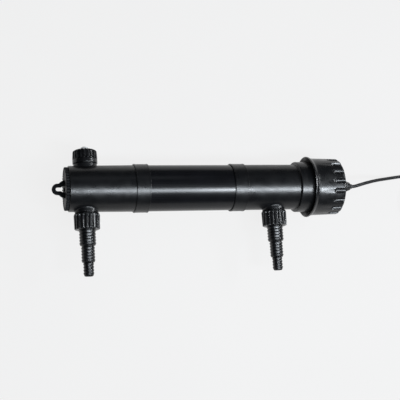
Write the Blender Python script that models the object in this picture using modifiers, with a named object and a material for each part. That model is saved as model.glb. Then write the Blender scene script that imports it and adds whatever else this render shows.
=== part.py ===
"""UV clarifier: a 90 mm tube with two hose tails, a sight cap and a screw-on lamp head.

Every piece is modelled about the tube: X runs along it from the hanging lug to the lamp head,
Y points to the sight cap and Z points away from the wall or floor that the feet stand on.
One empty then moves the whole object so that its origin is at the bottom centre.
"""

import math

import bmesh
import bpy
from mathutils import Matrix, Vector

MM = 0.001
GAP = 0.3 * MM  # between pieces that touch
MERGE = 1e-6

# Facets round a turned piece
BIG_STEPS = 34
PORT_STEPS = 22
NUT_STEPS = 20
TAIL_STEPS = 16
RING_STEPS = 36
SMALL_STEPS = 14
SCREW_STEPS = 8
SLEEVE_STEPS = 20

# Tube and housings
TUBE_R = 45.0 * MM
TUBE_WALL = 3.0 * MM
AXIS_HEIGHT = 66.0 * MM
LEFT_END = -264.0 * MM
LEFT_SEAM = -125.2 * MM
RIGHT_SEAM = 69.0 * MM
HOUSING_R = 45.3 * MM
HOUSING_TIP_R = 44.1 * MM
HOUSING_BORE_R = 40.8 * MM
SPIGOT_OVERLAP = 20.0 * MM
SPIGOT_STEP = 2.5 * MM
SPIGOT_TAPER = 6.0 * MM
PAST = 10.0 * MM  # how far a cutter runs past the face it opens
COLLAR_START = 190.8 * MM
COLLAR_R = 50.8 * MM
THREAD_START = 222.0 * MM
THREAD_R = 49.0 * MM
THREAD_RIDGE = 0.7 * MM
COLLAR_END = 250.0 * MM
COLLAR_BORE_R = 46.2 * MM

# Hanging lug on the end cap
CAP_R = 41.6 * MM
CAP_END = -271.4 * MM
CAP_STEP = 3.0 * MM
CAP_PLUG = 12.0 * MM
CAP_WALL = 3.0 * MM
LUG_THICKNESS = 6.0 * MM
LUG_TIP_R = 10.9 * MM
LUG_TIP_X = -294.8 * MM
LUG_ROOT_R = 18.0 * MM
LUG_ROOT_X = -267.0 * MM
LUG_FILLET = 4.0 * MM
KEY_HOLE_X = -272.6 * MM
KEY_HOLE_R = 6.0 * MM
KEY_SLOT_X = -283.7 * MM
KEY_SLOT_R = 3.8 * MM

# Wall brackets
BRACKET_WIDTH = 27.0 * MM
BRACKET_R = 47.5 * MM
BRACKET_BORE_R = 45.7 * MM
BRACKET_EDGE = 0.6 * MM
FOOT_HALF = 33.0 * MM
FOOT_THICKNESS = 5.0 * MM
NECK_HALF = 17.0 * MM
FOOT_HOLE_R = 2.6 * MM
FOOT_HOLE_Y = 26.0 * MM

# Ports and unions; heights are distances from the tube's axis
LEFT_PORT_X = -230.4 * MM
RIGHT_PORT_X = 144.0 * MM
BOSS_R = 22.5 * MM
BOSS_TOP = 47.4 * MM
BOSS_ROOT = 30.0 * MM
PORT_R = 20.4 * MM
PORT_RIDGE = 0.8 * MM
PORT_BORE_R = 15.0 * MM
PORT_TOP = 66.0 * MM
UNION_SEAL = 2.0 * MM
SEAL_INSET = 0.9 * MM
NUT_BASE = 48.6 * MM
NUT_TOP = 79.5 * MM
NUT_R = 24.8 * MM
NUT_BORE_R = 21.3 * MM
NUT_RIBS = 20
NUT_HOLE_R = 16.9 * MM
NUT_SKIRT = 2.5 * MM
RIB_GROOVE_R = 2.4 * MM
TAIL_NECK_R = 16.2 * MM
TAIL_FLANGE = 4.6 * MM
TAIL_SECTIONS = ((15.9 * MM, 110.9 * MM), (13.1 * MM, 142.8 * MM), (10.2 * MM, 167.6 * MM))
TAIL_WALL = 2.9 * MM
BARBS = (5, 5, 4)
BARB_PITCH = 5.8 * MM
BARB_DEPTH = 0.8 * MM
BARB_RISE = 1.2 * MM
SHOULDER = 1.2 * MM
TIP_SHOULDER = 1.5 * MM
TIP_EDGE = 0.8 * MM

# Sight cap
SIGHT_BASE = 48.6 * MM
SIGHT_SHOULDER = 73.0 * MM
SIGHT_TOP = 77.5 * MM
SIGHT_R = 23.9 * MM
SIGHT_SKIRT = 8.0 * MM
DOME_R = 12.0 * MM
DOME_TOP = 83.0 * MM
LENS_WALL = 2.5 * MM
LENS_FLANGE = 2.4 * MM

# Lamp head and lock ring
LIP_X = 216.0 * MM
LIP_R = 61.5 * MM
RING_R = 57.8 * MM
RING_END = 284.0 * MM
RING_BORE_R = 50.2 * MM
RING_HOLE_R = 36.0 * MM
RING_PLATE = 6.0 * MM
FLUTES = 18
FLUTE_START = 257.0 * MM
FLUTE_R = 5.0 * MM
HEAD_R = 48.5 * MM
HEAD_PLUG_R = 45.6 * MM
HEAD_CAVITY_R = 41.5 * MM
HEAD_INNER_X = 229.0 * MM
HEAD_SEAL = 2.0 * MM
COVER_R = 35.4 * MM
COVER_END = 284.8 * MM
COVER_PLUG = 6.5 * MM
COVER_BORE_R = 4.5 * MM
HEAD_FLANGE = 4.5 * MM
COVER_SCREWS = 3
COVER_SCREW_R = 32.4 * MM
SCREW_R = 1.5 * MM
SCREW_BORE_R = 1.9 * MM
SCREW_HEAD_R = 3.0 * MM
SCREW_HEAD = 2.0 * MM
SINK_R = 3.4 * MM
SINK_DEPTH = 2.8 * MM

# Lamp and quartz sleeve
SLEEVE_R = 24.0 * MM
SLEEVE_WALL = 1.8 * MM
SLEEVE_TIP = -182.0 * MM
SLEEVE_MOUTH = 231.0 * MM
SLEEVE_FIT_R = SLEEVE_R + 0.4 * MM
SLEEVE_BOSS_R = 30.0 * MM
SLEEVE_BOSS_START = 215.0 * MM
SLEEVE_NUT_R = 33.5 * MM
SLEEVE_NUT_BORE_R = 30.5 * MM
SLEEVE_NUT_START = 207.0 * MM
SLEEVE_NUT_FACE = 210.7 * MM
SLEEVE_NUT_END = 225.5 * MM
SUPPORT_X = -176.0 * MM
SUPPORT_R = 26.5 * MM
SUPPORT_WIDTH = 8.0 * MM
LAMP_TUBE_R = 8.75 * MM
LAMP_TUBE_SPACING = 20.5 * MM
LAMP_TIP = -155.0 * MM
LAMP_BASE_START = 241.0 * MM
LAMP_BRIDGE_R = 4.0 * MM
LAMP_BRIDGE_X = -139.0 * MM
LAMP_BASE_END = 258.0 * MM
LAMP_BASE_HALF = (21.7 * MM, 11.0 * MM)
HOLDER_END = 270.0 * MM
HOLDER_HALF = (23.0 * MM, 13.0 * MM)
BALLAST_END = 268.0 * MM
BALLAST_HALF = (18.0 * MM, 10.2 * MM)
BALLAST_LIFT = 23.8 * MM

# Cable gland and cord
GLAND_TIP = 317.6 * MM
GLAND_FLATS = 8
GLAND_STEPS = 12
GLAND_R = 12.0 * MM
GLAND_THREAD_R = 8.5 * MM
GROMMET_R = 6.2 * MM
GROMMET_NECK_R = 4.8 * MM
CORD_R = 3.4 * MM
FLOOR = -AXIS_HEIGHT
CORD_ROUTE = (
    (GLAND_TIP + GAP, 0.0, 0.0),
    (0.3215, 0.0001, 0.0),
    (0.3275, 0.0013, -0.0006),
    (0.3360, 0.0037, -0.0024),
    (0.3480, 0.0073, -0.0064),
    (0.3620, 0.0114, -0.0128),
    (0.3780, 0.0159, -0.0218),
    (0.3960, 0.0206, -0.0330),
    (0.4150, 0.0250, -0.0446),
    (0.4350, 0.0292, -0.0544),
    (0.4560, 0.0329, -0.0604),
    (0.4780, 0.0356, -0.0624),
    (0.5025, 0.0370, -0.0625),
)
COIL_CENTRE = (0.5340, -0.0234)
COIL_MID_R = 48.4 * MM
COIL_COLUMNS = 4.525
COIL_LAYERS = 4
COIL_STEPS = 24
PLUG_ROUTE = (
    (0.5655, 0.0370, -0.0417),
    (0.5840, 0.0369, -0.0442),
    (0.6060, 0.0365, -0.0515),
    (0.6280, 0.0358, -0.0590),
    (0.6500, 0.0348, -0.0622),
    (0.6720, 0.0337, -0.0612),
    (0.6900, 0.0326, -0.0589),
)
PLUG_WIDTH = 35.4 * MM
PLUG_HEIGHT = 14.0 * MM
PLUG_LENGTH = 34.0 * MM
BOOT_LENGTH = 22.0 * MM
BOOT_R = 6.6 * MM
PIN_R = 2.0 * MM
PIN_LENGTH = 19.0 * MM
PIN_EDGE = 1.2 * MM
PIN_SPACING = 19.0 * MM

TO_PLUS_X = Matrix.Rotation(math.pi / 2, 4, "Y")
TO_MINUS_Y = Matrix.Rotation(math.pi / 2, 4, "X")
TO_PLUS_Y = Matrix.Rotation(-math.pi / 2, 4, "X")


# ---------------------------------------------------------------- scene and helpers


def clear_scene():
    for item in list(bpy.data.objects):
        bpy.data.objects.remove(item, do_unlink=True)
    for item in list(bpy.data.collections):
        bpy.data.collections.remove(item)


def collection(name, hidden=False):
    made = bpy.data.collections.new(name)
    bpy.context.scene.collection.children.link(made)
    made.hide_render = hidden
    return made


def finish(name, colour, roughness, metallic=0.0, alpha=1.0):
    made = bpy.data.materials.new(name)
    made.use_nodes = True
    shader = made.node_tree.nodes["Principled BSDF"]
    shader.inputs["Base Color"].default_value = (*colour, 1.0)
    shader.inputs["Roughness"].default_value = roughness
    shader.inputs["Metallic"].default_value = metallic
    shader.inputs["Alpha"].default_value = alpha
    return made


def empty(name, parent=None, matrix=None):
    made = bpy.data.objects.new(name, None)
    made.empty_display_size = 20.0 * MM
    PARTS.objects.link(made)
    made.parent = parent
    made.matrix_local = matrix or Matrix()
    return made


def place(mesh, name, parent, material=None):
    """An object of the mesh under its parent empty; with no material it is a cutter."""
    made = bpy.data.objects.new(name, mesh)
    made.parent = parent
    if material:
        mesh.materials.append(material)
        PARTS.objects.link(made)
    else:
        CUTTERS.objects.link(made)
        made.hide_render = True
        made.display_type = "WIRE"
    return made


def arc(centre, radius, start, end, count):
    """Points on an arc from start to end, in degrees from the first axis."""
    points = []
    for i in range(count + 1):
        angle = math.radians(start + (end - start) * i / count)
        points.append((centre[0] + radius * math.cos(angle), centre[1] + radius * math.sin(angle)))
    return points


def outward(profile):
    """The (radius, station) profile ordered so that it runs down its outer side."""
    area = 0.0
    for (r0, z0), (r1, z1) in zip(profile, profile[1:] + profile[:1]):
        area += r0 * z1 - r1 * z0
    return profile[::-1] if area > 0 else profile


def turned(name, profile, parent, steps, material=None):
    """A body turned about the parent's Z axis from its closed profile; no face lies on the axis."""
    points = outward(list(profile))
    around = [(i, (i + 1) % len(points)) for i in range(len(points))]
    edges = [(a, b) for a, b in around if max(points[a][0], points[b][0]) > MERGE]
    mesh = bpy.data.meshes.new(name)
    mesh.from_pydata([(radius, 0, station) for radius, station in points], edges, [])
    body = place(mesh, name, parent, material)
    screw = body.modifiers.new("turn", "SCREW")
    screw.axis = "Z"
    screw.steps = steps
    screw.render_steps = steps
    screw.use_merge_vertices = True
    screw.merge_threshold = MERGE
    screw.use_smooth_shade = True
    return body


def boolean(body, cutter, operation="DIFFERENCE"):
    step = body.modifiers.new(operation.lower(), "BOOLEAN")
    step.operation = operation
    step.solver = "EXACT"
    step.object = cutter


def rod(radius, low, high):
    """The profile of a plain solid cylinder."""
    return [(0.0, low), (radius, low), (radius, high), (0.0, high)]


def pipe(outer, inner, low, high):
    """The profile of a plain ring."""
    return [(inner, low), (outer, low), (outer, high), (inner, high)]


def mesh_from(build, name):
    bm = bmesh.new()
    build(bm)
    bmesh.ops.recalc_face_normals(bm, faces=bm.faces)
    mesh = bpy.data.meshes.new(name)
    bm.to_mesh(mesh)
    bm.free()
    return mesh


def box(bm, low, high):
    size = Vector(high) - Vector(low)
    middle = (Vector(high) + Vector(low)) / 2
    matrix = Matrix.Translation(middle) @ Matrix.Diagonal((*size, 1))
    bmesh.ops.create_cube(bm, size=1, matrix=matrix)


def cylinder(bm, radius, length, matrix, segments, end_radius=None):
    end_radius = radius if end_radius is None else end_radius
    bmesh.ops.create_cone(bm, cap_ends=True, segments=segments, radius1=radius,
                          radius2=end_radius, depth=length, matrix=matrix)


def box_object(name, low, high, parent, material=None):
    return place(mesh_from(lambda bm: box(bm, low, high), name), name, parent, material)


def plate(name, outline, thickness, parent, low):
    """A flat piece of the outline, from Z = low upwards, as a closed mesh."""
    curve = bpy.data.curves.new(name, "CURVE")
    curve.dimensions = "2D"
    curve.fill_mode = "BOTH"
    curve.extrude = thickness / 2
    spline = curve.splines.new("POLY")
    spline.points.add(len(outline) - 1)
    for point, (x, y) in zip(spline.points, outline):
        point.co = (x, y, 0, 1)
    spline.use_cyclic_u = True
    shape = bpy.data.objects.new(name, curve)
    CUTTERS.objects.link(shape)
    graph = bpy.context.evaluated_depsgraph_get()
    mesh = bpy.data.meshes.new_from_object(shape.evaluated_get(graph))
    bpy.data.objects.remove(shape)
    mesh.transform(Matrix.Translation((0, 0, low + thickness / 2)))
    bm = bmesh.new()
    bm.from_mesh(mesh)
    bmesh.ops.remove_doubles(bm, verts=bm.verts, dist=MERGE)
    bmesh.ops.recalc_face_normals(bm, faces=bm.faces)
    bm.to_mesh(mesh)
    bm.free()
    return place(mesh, name, parent)


def grooves(name, count, groove_r, centre_r, low, high, parent, lean=0.0):
    """Round-ended grooves spaced evenly about the parent's Z axis, open past the high end."""

    def build(bm):
        length = high - low
        for i in range(count):
            turn = Matrix.Rotation(2 * math.pi * i / count, 4, "Z")
            tilt = Matrix.Translation((centre_r, 0, low)) @ Matrix.Rotation(-lean, 4, "Y")
            cylinder(bm, groove_r, length, turn @ tilt @ Matrix.Translation((0, 0, length / 2)), 8)
        ends = [face for face in bm.faces if len(face.verts) > 4]
        starts = [face for face in ends if face.calc_center_median().z < (low + high) / 2]
        edges = {edge for face in starts for edge in face.edges}
        bmesh.ops.bevel(bm, geom=list(edges), offset=groove_r * 0.6, segments=1, affect="EDGES")

    return place(mesh_from(build, name), name, parent)


# ---------------------------------------------------------------- tube, housings, brackets


def port_stub(name, parent):
    """The boss and threaded spigot that a union screws onto."""
    profile = [(0.0, BOSS_ROOT), (BOSS_R, BOSS_ROOT), (BOSS_R, BOSS_TOP - MM), (BOSS_R - MM, BOSS_TOP)]
    root = PORT_R - PORT_RIDGE
    profile += [(root, BOSS_TOP)]
    for i in range(2):
        base = BOSS_TOP + (4.0 + 4.0 * i) * MM
        profile += [(root, base), (PORT_R, base + PORT_RIDGE), (root, base + 2 * PORT_RIDGE)]
    profile += [(root, PORT_TOP), (0.0, PORT_TOP)]
    return turned(name, profile, parent, PORT_STEPS)


def add_port(housing, name, parent):
    boolean(housing, port_stub(name + "_stub", parent), "UNION")


def bore_port(housing, name, parent):
    boolean(housing, turned(name + "_bore", rod(PORT_BORE_R, 0.0, PORT_TOP + PAST), parent, PORT_STEPS + 2))


def make_left_housing(axis, left_port, sight_port):
    profile = [
        (0.0, LEFT_END),
        (HOUSING_TIP_R - 0.6 * MM, LEFT_END),
        (HOUSING_TIP_R, LEFT_END + 0.8 * MM),
        (HOUSING_R, LEFT_SEAM),
        (TUBE_R - TUBE_WALL - GAP, LEFT_SEAM),
        (TUBE_R - TUBE_WALL - GAP, LEFT_SEAM + SPIGOT_OVERLAP),
        (0.0, LEFT_SEAM + SPIGOT_OVERLAP),
    ]
    housing = turned("left_housing", profile, axis, BIG_STEPS, MOULDED)
    add_port(housing, "left_port", left_port)
    add_port(housing, "sight_port", sight_port)
    bore = [
        (0.0, LEFT_END - PAST),
        (HOUSING_BORE_R, LEFT_END - PAST),
        (HOUSING_BORE_R, LEFT_SEAM - SPIGOT_TAPER),
        (HOUSING_BORE_R - SPIGOT_STEP, LEFT_SEAM),
        (HOUSING_BORE_R - SPIGOT_STEP, LEFT_SEAM + SPIGOT_OVERLAP + PAST),
        (0.0, LEFT_SEAM + SPIGOT_OVERLAP + PAST),
    ]
    boolean(housing, turned("left_bore", bore, axis, BIG_STEPS))
    bore_port(housing, "left_port", left_port)
    bore_port(housing, "sight_port", sight_port)


def make_right_housing(axis, right_port):
    collar = [
        (COLLAR_R - 4.0 * MM, COLLAR_START),
        (COLLAR_R - 1.2 * MM, COLLAR_START + 1.2 * MM),
        (COLLAR_R, COLLAR_START + 4.0 * MM),
        (COLLAR_R, THREAD_START),
    ]
    thread = [(THREAD_R, THREAD_START)]
    for i in range(2):
        base = THREAD_START + (9.0 + 8.0 * i) * MM
        thread += [(THREAD_R, base), (THREAD_R + THREAD_RIDGE, base + MM), (THREAD_R, base + 2 * MM)]
    profile = [
        (0.0, RIGHT_SEAM - SPIGOT_OVERLAP),
        (TUBE_R - TUBE_WALL - GAP, RIGHT_SEAM - SPIGOT_OVERLAP),
        (TUBE_R - TUBE_WALL - GAP, RIGHT_SEAM),
        (HOUSING_R, RIGHT_SEAM),
        (HOUSING_R, COLLAR_START),
        *collar,
        *thread,
        (THREAD_R, COLLAR_END - MM),
        (THREAD_R - MM, COLLAR_END),
        (0.0, COLLAR_END),
    ]
    housing = turned("right_housing", profile, axis, BIG_STEPS, MOULDED)
    add_port(housing, "right_port", right_port)
    bore = [
        (0.0, RIGHT_SEAM - SPIGOT_OVERLAP - PAST),
        (HOUSING_BORE_R - SPIGOT_STEP, RIGHT_SEAM - SPIGOT_OVERLAP - PAST),
        (HOUSING_BORE_R - SPIGOT_STEP, RIGHT_SEAM),
        (HOUSING_BORE_R, RIGHT_SEAM + SPIGOT_TAPER),
        (HOUSING_BORE_R, COLLAR_START),
        (COLLAR_BORE_R, THREAD_START),
        (COLLAR_BORE_R, COLLAR_END + PAST),
        (0.0, COLLAR_END + PAST),
    ]
    boolean(housing, turned("right_bore", bore, axis, BIG_STEPS))
    bore_port(housing, "right_port", right_port)


def make_centre_tube(axis):
    low, high = LEFT_SEAM + GAP, RIGHT_SEAM - GAP
    turned("centre_tube", pipe(TUBE_R, TUBE_R - TUBE_WALL, low, high), axis, BIG_STEPS, SATIN)


def make_bracket(name, seam, axis, frame):
    """A ring round the seam, with a neck and a foot that two screws hold down."""
    half = BRACKET_WIDTH / 2
    low, high = seam - half, seam + half
    ring = [
        (0.0, low),
        (BRACKET_R - BRACKET_EDGE, low),
        (BRACKET_R, low + BRACKET_EDGE),
        (BRACKET_R, high - BRACKET_EDGE),
        (BRACKET_R - BRACKET_EDGE, high),
        (0.0, high),
    ]
    bracket = turned(name, ring, axis, BIG_STEPS, MOULDED)
    neck = ((low + MM, -NECK_HALF, FLOOR + MM), (high - MM, NECK_HALF, -BRACKET_BORE_R / 2))
    boolean(bracket, box_object(name + "_neck", *neck, frame), "UNION")
    foot = ((low, -FOOT_HALF, FLOOR), (high, FOOT_HALF, FLOOR + FOOT_THICKNESS))
    boolean(bracket, box_object(name + "_foot", *foot, frame), "UNION")
    boolean(bracket, turned(name + "_hole", rod(BRACKET_BORE_R, low - PAST, high + PAST), axis,
                            BIG_STEPS))

    def screw_holes(bm):
        for side in (-1, 1):
            spot = Matrix.Translation((seam, side * FOOT_HOLE_Y, FLOOR + FOOT_THICKNESS / 2))
            cylinder(bm, FOOT_HOLE_R, FOOT_THICKNESS + PAST, spot, 16)

    boolean(bracket, place(mesh_from(screw_holes, name + "_screw_holes"), name + "_screw_holes", frame))


def lug_outline():
    """Two discs joined by small concave fillets: a round tip on a wider root."""
    tip_x = LUG_TIP_X + LUG_TIP_R
    span = LUG_ROOT_X - tip_x
    a, b = LUG_TIP_R + LUG_FILLET, LUG_ROOT_R + LUG_FILLET
    along = (a * a - b * b + span * span) / (2 * span)
    across = math.sqrt(a * a - along * along)
    tip_angle = math.degrees(math.atan2(across, along))
    root_angle = math.degrees(math.atan2(across, along - span))
    upper = arc((tip_x, 0), LUG_TIP_R, 180, tip_angle, 12)
    upper += arc((tip_x + along, across), LUG_FILLET, tip_angle - 180, root_angle - 180, 4)
    upper += arc((LUG_ROOT_X, 0), LUG_ROOT_R, root_angle, 90, 5)[1:]
    lower = [(x, -y) for x, y in upper[1:]]
    return upper + lower[::-1]


def key_outline():
    """A round hole with a narrower slot towards the tip."""
    open_angle = math.degrees(math.asin(KEY_SLOT_R / KEY_HOLE_R))
    outline = arc((KEY_HOLE_X, 0), KEY_HOLE_R, open_angle - 180, 180 - open_angle, 18)
    outline += arc((KEY_SLOT_X, 0), KEY_SLOT_R, 90, 270, 10)
    return outline


def make_end_cap(axis, frame):
    plug_end = LEFT_END + CAP_PLUG
    plug_bore = HOUSING_BORE_R - CAP_WALL
    inside = LEFT_END - 2.0 * MM
    profile = [
        (0.0, CAP_END),
        (CAP_R - CAP_STEP, CAP_END),
        (CAP_R - 0.4 * MM, CAP_END + 1.2 * MM),
        (CAP_R, LEFT_END - GAP),
        (HOUSING_BORE_R - GAP, LEFT_END - GAP),
        (HOUSING_BORE_R - GAP, plug_end),
        (plug_bore, plug_end),
        (plug_bore, inside),
        (0.0, inside),
    ]
    cap = turned("end_cap", profile, axis, BIG_STEPS, MOULDED)

    lug = plate("lug", lug_outline(), LUG_THICKNESS, frame, -LUG_THICKNESS)
    boolean(cap, lug, "UNION")
    reach = LUG_ROOT_R + PAST
    trim = ((inside + 0.2 * MM, -reach, -reach), (plug_end + reach, reach, reach))
    boolean(cap, box_object("lug_trim", *trim, frame))
    boolean(cap, plate("key_hole", key_outline(), 5 * LUG_THICKNESS, frame, -3 * LUG_THICKNESS))
    hollow = rod(plug_bore, inside - GAP, plug_end + PAST)
    boolean(cap, turned("end_cap_hollow", hollow, axis, BIG_STEPS))


def make_sleeve_support(axis, frame):
    """A hub that steadies the sleeve's tip, on three legs that reach the housing's wall."""
    hub = pipe(SUPPORT_R, SLEEVE_FIT_R, SUPPORT_X - SUPPORT_WIDTH / 2, SUPPORT_X + SUPPORT_WIDTH / 2)
    support = turned("sleeve_support", hub, axis, BIG_STEPS, MOULDED)

    def legs(bm):
        root, reach = SUPPORT_R - MM, HOUSING_BORE_R - GAP
        for i in range(3):
            turn = Matrix.Rotation(2 * math.pi * i / 3, 4, "Z")
            spot = turn @ Matrix.Translation(((root + reach) / 2, 0, SUPPORT_X))
            size = Matrix.Diagonal((reach - root, SUPPORT_WIDTH / 2, SUPPORT_WIDTH - MM, 1))
            bmesh.ops.create_cube(bm, size=1, matrix=spot @ size)

    boolean(support, place(mesh_from(legs, "support_legs"), "support_legs", axis), "UNION")


# ---------------------------------------------------------------- unions and sight cap


def barbed_side(start):
    """The outer profile of the hose tail, from the union outwards."""
    points = []
    station = start
    for index, (radius, end) in enumerate(TAIL_SECTIONS):
        last = index == len(TAIL_SECTIONS) - 1
        root = radius - BARB_DEPTH
        shoulder = TIP_SHOULDER if last else SHOULDER
        first_barb = end - shoulder - BARBS[index] * BARB_PITCH
        points += [(root, station), (root, first_barb)]
        for i in range(BARBS[index]):
            base = first_barb + i * BARB_PITCH
            points += [(radius, base + BARB_RISE), (root, base + BARB_PITCH - BARB_RISE / 2)]
        if last:
            points += [(root, end - TIP_EDGE), (root - TIP_EDGE, end)]
        station = end
    return points


def make_tail(name, port):
    base = PORT_TOP + UNION_SEAL + 2 * GAP
    flange_r, flange_top = NUT_BORE_R - MM, base + TAIL_FLANGE
    profile = [(PORT_BORE_R - 2.4 * MM, base), (flange_r, base), (flange_r, flange_top)]
    profile += [(TAIL_NECK_R, flange_top), (TAIL_NECK_R, NUT_TOP)]
    profile += barbed_side(NUT_TOP + 2 * GAP)
    tip_r, tip = TAIL_SECTIONS[-1]
    profile += [(tip_r - TAIL_WALL, tip), (tip_r - TAIL_WALL, TAIL_SECTIONS[1][1])]
    turned(name, profile, port, TAIL_STEPS, GLOSSY)


def make_seal(name, port):
    low = PORT_TOP + GAP
    ring = pipe(PORT_R - SEAL_INSET, PORT_BORE_R + SEAL_INSET / 2, low, low + UNION_SEAL)
    turned(name, ring, port, PORT_STEPS, RUBBER)


def make_union_nut(name, port):
    lip = PORT_TOP + UNION_SEAL + 3 * GAP + TAIL_FLANGE
    profile = [
        (NUT_BORE_R, NUT_BASE),
        (NUT_R - 2.0 * MM, NUT_BASE),
        (NUT_R, NUT_BASE + 3.5 * MM),
        (NUT_R - 0.6 * MM, NUT_TOP - 3.0 * MM),
        (NUT_R - 3.0 * MM, NUT_TOP),
        (NUT_HOLE_R, NUT_TOP),
        (NUT_HOLE_R, lip),
        (NUT_BORE_R, lip),
    ]
    nut = turned(name, profile, port, NUT_STEPS, GLOSSY)
    ribs = grooves(name + "_grooves", NUT_RIBS, RIB_GROOVE_R, NUT_R + 0.6 * MM, NUT_BASE + NUT_SKIRT,
                   NUT_TOP + PAST / 2, port)
    boolean(nut, ribs)


def make_sight_cap(port):
    make_seal("sight_seal", port)
    base = PORT_TOP + UNION_SEAL + 2 * GAP
    flange_r, flange_top = PORT_R - MM, base + LENS_FLANGE
    dome_centre = DOME_TOP - DOME_R
    dome = arc((0, dome_centre), DOME_R, 0, 90, 4)
    inner = arc((0, dome_centre), DOME_R - LENS_WALL, 90, 0, 3)
    profile = [(flange_r, base), (flange_r, flange_top), (DOME_R, flange_top)]
    profile += dome[:-1] + [(0.0, DOME_TOP), (0.0, DOME_TOP - LENS_WALL)] + inner[1:]
    profile += [(DOME_R - LENS_WALL, base)]
    turned("sight_lens", profile, port, PORT_STEPS, CLEAR)
    lip = flange_top + GAP
    profile = [
        (NUT_BORE_R, SIGHT_BASE),
        (SIGHT_R - 0.4 * MM, SIGHT_BASE),
        (SIGHT_R, SIGHT_BASE + MM),
        (SIGHT_R - 0.9 * MM, SIGHT_SHOULDER),
        (SIGHT_R - 2.8 * MM, SIGHT_SHOULDER + 2.8 * MM),
        (SIGHT_R - 7.0 * MM, SIGHT_TOP),
        (DOME_R + MM, SIGHT_TOP),
        (DOME_R + 0.5 * MM, SIGHT_TOP - 0.6 * MM),
        (DOME_R + 0.5 * MM, lip),
        (NUT_BORE_R, lip),
    ]
    nut = turned("sight_nut", profile, port, NUT_STEPS, GLOSSY)
    ribs = grooves("sight_grooves", NUT_RIBS, RIB_GROOVE_R, SIGHT_R + 0.6 * MM, SIGHT_BASE + SIGHT_SKIRT,
                   SIGHT_TOP + PAST / 2, port)
    boolean(nut, ribs)


# ---------------------------------------------------------------- lamp head


def make_lock_ring(axis):
    hollow = RING_END - RING_PLATE
    profile = [
        (RING_BORE_R + 7.2 * MM, LIP_X),
        (LIP_R - 1.2 * MM, LIP_X),
        (LIP_R, LIP_X + 1.5 * MM),
        (LIP_R, LIP_X + 5.0 * MM),
        (RING_R, LIP_X + 9.0 * MM),
        (RING_R - 1.6 * MM, RING_END - 7.5 * MM),
        (RING_R - 4.0 * MM, RING_END - 2.6 * MM),
        (RING_R - 8.5 * MM, RING_END),
        (RING_HOLE_R, RING_END),
        (RING_HOLE_R, hollow),
        (RING_BORE_R, hollow),
        (RING_BORE_R, LIP_X + 12.0 * MM),
    ]
    ring = turned("lock_ring", profile, axis, RING_STEPS, GLOSSY)
    cutter = grooves("flutes", FLUTES, FLUTE_R, RING_R + 1.2 * MM, FLUTE_START, RING_END + PAST / 2, axis,
                     math.radians(2.0))
    boolean(ring, cutter)


def make_head_shell(axis):
    head_start = COLLAR_END + HEAD_SEAL + 2 * GAP
    head_end = RING_END - RING_PLATE - GAP
    seal = pipe(THREAD_R - 0.5 * MM, HEAD_PLUG_R + 0.5 * MM, COLLAR_END + GAP, COLLAR_END + GAP + HEAD_SEAL)
    turned("head_seal", seal, axis, BIG_STEPS, RUBBER)
    profile = [
        (HEAD_CAVITY_R, HEAD_INNER_X),
        (HEAD_PLUG_R - 0.8 * MM, HEAD_INNER_X),
        (HEAD_PLUG_R, HEAD_INNER_X + 0.8 * MM),
        (HEAD_PLUG_R, head_start),
        (HEAD_R, head_start),
        (HEAD_R, head_end),
        (COVER_R - 5.0 * MM, head_end),
        (COVER_R - 5.0 * MM, head_end - HEAD_FLANGE),
        (HEAD_CAVITY_R, head_end - HEAD_FLANGE),
    ]
    head = turned("lamp_head", profile, axis, BIG_STEPS, MOULDED)
    boolean(head, screw_bores("lamp_head_screws", SCREW_BORE_R, head_end - PAST, head_end + PAST, axis))

    cover_start = head_end + GAP
    profile = [
        (COVER_BORE_R, head_end - COVER_PLUG),
        (COVER_R - 5.5 * MM, head_end - COVER_PLUG),
        (COVER_R - 5.5 * MM, cover_start),
        (COVER_R, cover_start),
        (COVER_R, COVER_END - 1.2 * MM),
        (COVER_R - 1.2 * MM, COVER_END),
        (COVER_BORE_R, COVER_END),
    ]
    cover = turned("end_cover", profile, axis, BIG_STEPS, MOULDED)
    boolean(cover, screw_bores("cover_bores", SCREW_BORE_R, head_end - MM, COVER_END + PAST, axis))
    boolean(cover, screw_bores("cover_sinks", SINK_R, COVER_END - SINK_DEPTH, COVER_END + PAST, axis))
    for i in range(COVER_SCREWS):
        make_cover_screw(i, head_end, axis)


def screw_places():
    """Where the cover screws sit about the tube's axis, in the turned frame."""
    for i in range(COVER_SCREWS):
        yield Matrix.Rotation(2 * math.pi * (i + 0.25) / COVER_SCREWS, 4, "Z") @ Matrix.Translation(
            (COVER_SCREW_R, 0, 0))


def screw_bores(name, radius, low, high, axis):
    def build(bm):
        for spot in screw_places():
            middle = Matrix.Translation((0, 0, (low + high) / 2))
            cylinder(bm, radius, high - low, spot @ middle, SCREW_STEPS)

    return place(mesh_from(build, name), name, axis)


def make_cover_screw(index, head_end, axis):
    name = f"cover_screw_{index + 1}"
    seat = COVER_END - SINK_DEPTH + GAP
    tip, top = head_end - 4.0 * MM, seat + SCREW_HEAD
    spot = empty(name + "_place", axis, list(screw_places())[index])
    profile = [
        (0.0, tip),
        (SCREW_R, tip),
        (SCREW_R, seat),
        (SCREW_HEAD_R, seat),
        (SCREW_HEAD_R, top - 0.6 * MM),
        (SCREW_HEAD_R - 0.8 * MM, top),
        (0.0, top),
    ]
    turned(name, profile, spot, SCREW_STEPS, STEEL)


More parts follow.
